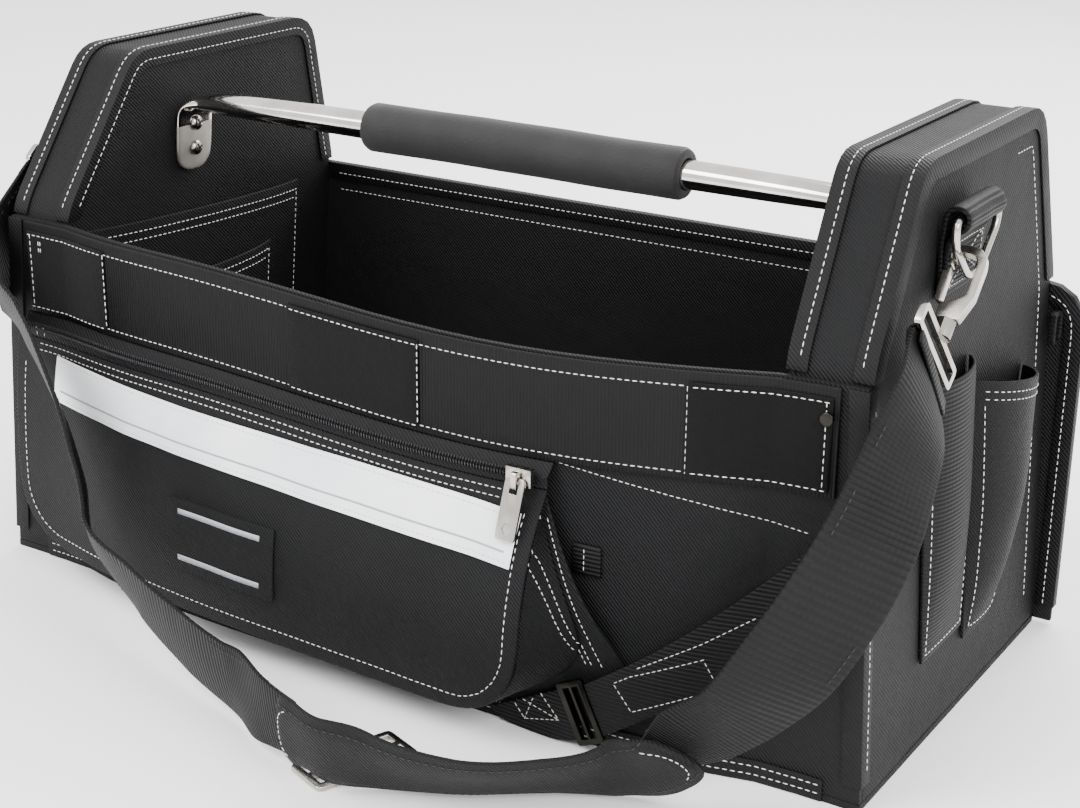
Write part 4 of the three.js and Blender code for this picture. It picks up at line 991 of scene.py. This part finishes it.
def buildSawStrap():
    strap = curvedSheet("saw_strap", levelWebbing, edge=0.5)
    anchor = curvedSheet("saw_strap_anchor", levelWebbing, edge=0.5, levels=1)
    hardPiece("saw_strap_ring", gunmetal, 1.1)
    box = before((88, 20), (107, 27), (120, 13), (99, 7), (88, 20))
    cross = [before((88, 20), (120, 13)), before((107, 27), (99, 7))]
    sew("saw_anchor", [anchor], [box, *cross], ahead, scale=0.85)
    edge = before((162, 53), (194, 73), (219, 91))
    patch = before((150, 42), (159, 48), (195, 65), (202, 53), (195, 47), (160, 29), (150, 42))
    sew("saw_strap", [strap], [edge, patch], ahead, scale=0.85)
    print("saw strap made")


def buildPockets():
    sleeve = curvedSheet("webbing_sleeve", levelWebbing, edge=0.6, levels=1)
    rule = curvedSheet("rule_pocket", cloth, edge=0.6, push=(1, 0, 0),
                       waves=[(40, 1.4)], keep=lambda co: shareOf(co.x, 0.268, 0.28))
    tall = curvedSheet("inner_pocket_tall", cloth, edge=0.6, levels=1)
    low = curvedSheet("inner_pocket_low", cloth, edge=0.6, levels=1)
    hardPiece("clip_loop", levelWebbing, 0.8)
    inward = (-1, 0, 0)
    out = farOut
    sew("webbing_sleeve", [sleeve], [
        [(out, -56.5, 186), (out, -51, 52), (out, -5, 52), (out, -5, 188)]], inward)
    sew("rule_pocket", [rule], [
        [(out, 4, 172), (out, 74, 159)], [(out, 4, 168), (out, 73, 155)],
        [(out, 5, 165), (out, 6, 44), (out, 37, 44), (out, 73, 156)]], inward)
    sew("tall_pocket", [tall], [
        [(0, -104, 196), (0, 81, 188), (0, 81, 44)], [(0, -104, 191), (0, 78, 183)]], inward)
    sew("low_pocket", [low], [
        [(0, -104, 158), (0, 45, 158), (0, 45, 34)], [(0, -104, 153), (0, 42, 153)]], inward)
    print("end pockets made")


buildFront()
buildZip()
sewFront()
sewTowers()
buildHandle()
buildHardware()
buildStraps()
buildSawStrap()
buildPockets()


# Floor, light and camera

studio = {
    "floor": "#fbfbfb", "world": "#ffffff", "worldStrength": 1.9, "aim": (0, 0, 0.15),
    "lamps": [
        {"at": (-0.9, -1.5, 1.9), "size": 1.3, "watts": 66},
        {"at": (1.7, -1.0, 1.3), "size": 1.1, "watts": 48},
        {"at": (0.1, 1.5, 1.6), "size": 1.4, "watts": 54},
    ],
}
shot = {"place": (0.5703, -0.8810, 0.4998), "azimuth": 32.15, "elevation": 20.32, "roll": 0.574,
        "lens": 65.8, "sensor": 36}


def buildStudio():
    bm = bmesh.new()
    bmesh.ops.create_grid(bm, x_segments=2, y_segments=2, size=8)
    mesh = bpy.data.meshes.new("floor")
    bm.to_mesh(mesh)
    bm.free()
    floor = bpy.data.objects.new("floor", mesh)
    bpy.context.scene.collection.objects.link(floor)
    paint = startMaterial("matt_paper", {
        "Roughness": 0.9, "Specular IOR Level": 0.1, "Base Color": linear(studio["floor"])})[0]
    mesh.materials.append(paint)
    world = bpy.data.worlds.new("studio")
    world.use_nodes = True
    bpy.context.scene.world = world
    background = world.node_tree.nodes["Background"]
    background.inputs["Color"].default_value = linear(studio["world"])
    background.inputs["Strength"].default_value = studio["worldStrength"]
    for k, lamp in enumerate(studio["lamps"]):
        light = bpy.data.lights.new("softbox_%d" % k, "AREA")
        light.size = lamp["size"]
        light.energy = lamp["watts"]
        holder = bpy.data.objects.new(light.name, light)
        bpy.context.scene.collection.objects.link(holder)
        holder.location = lamp["at"]
        aim = Vector(studio["aim"]) - Vector(lamp["at"])
        holder.rotation_euler = aim.to_track_quat("-Z", "Y").to_euler()


def buildCamera():
    azimuth, elevation, roll = (math.radians(shot[key]) for key in ("azimuth", "elevation", "roll"))
    back = Vector((math.sin(azimuth) * math.cos(elevation), -math.cos(azimuth) * math.cos(elevation),
                   math.sin(elevation)))
    level = Vector((math.cos(azimuth), math.sin(azimuth), 0))
    up = back.cross(level)
    right = level * math.cos(roll) + up * math.sin(roll)
    up = back.cross(right)
    data = bpy.data.cameras.new("camera")
    data.lens = shot["lens"]
    data.sensor_width = shot["sensor"]
    camera = bpy.data.objects.new("camera", data)
    turn = Matrix((right, up, back)).transposed().to_4x4()
    camera.matrix_world = Matrix.Translation(shot["place"]) @ turn
    bpy.context.scene.collection.objects.link(camera)
    bpy.context.scene.camera = camera


buildStudio()
buildCamera()
print("studio made")
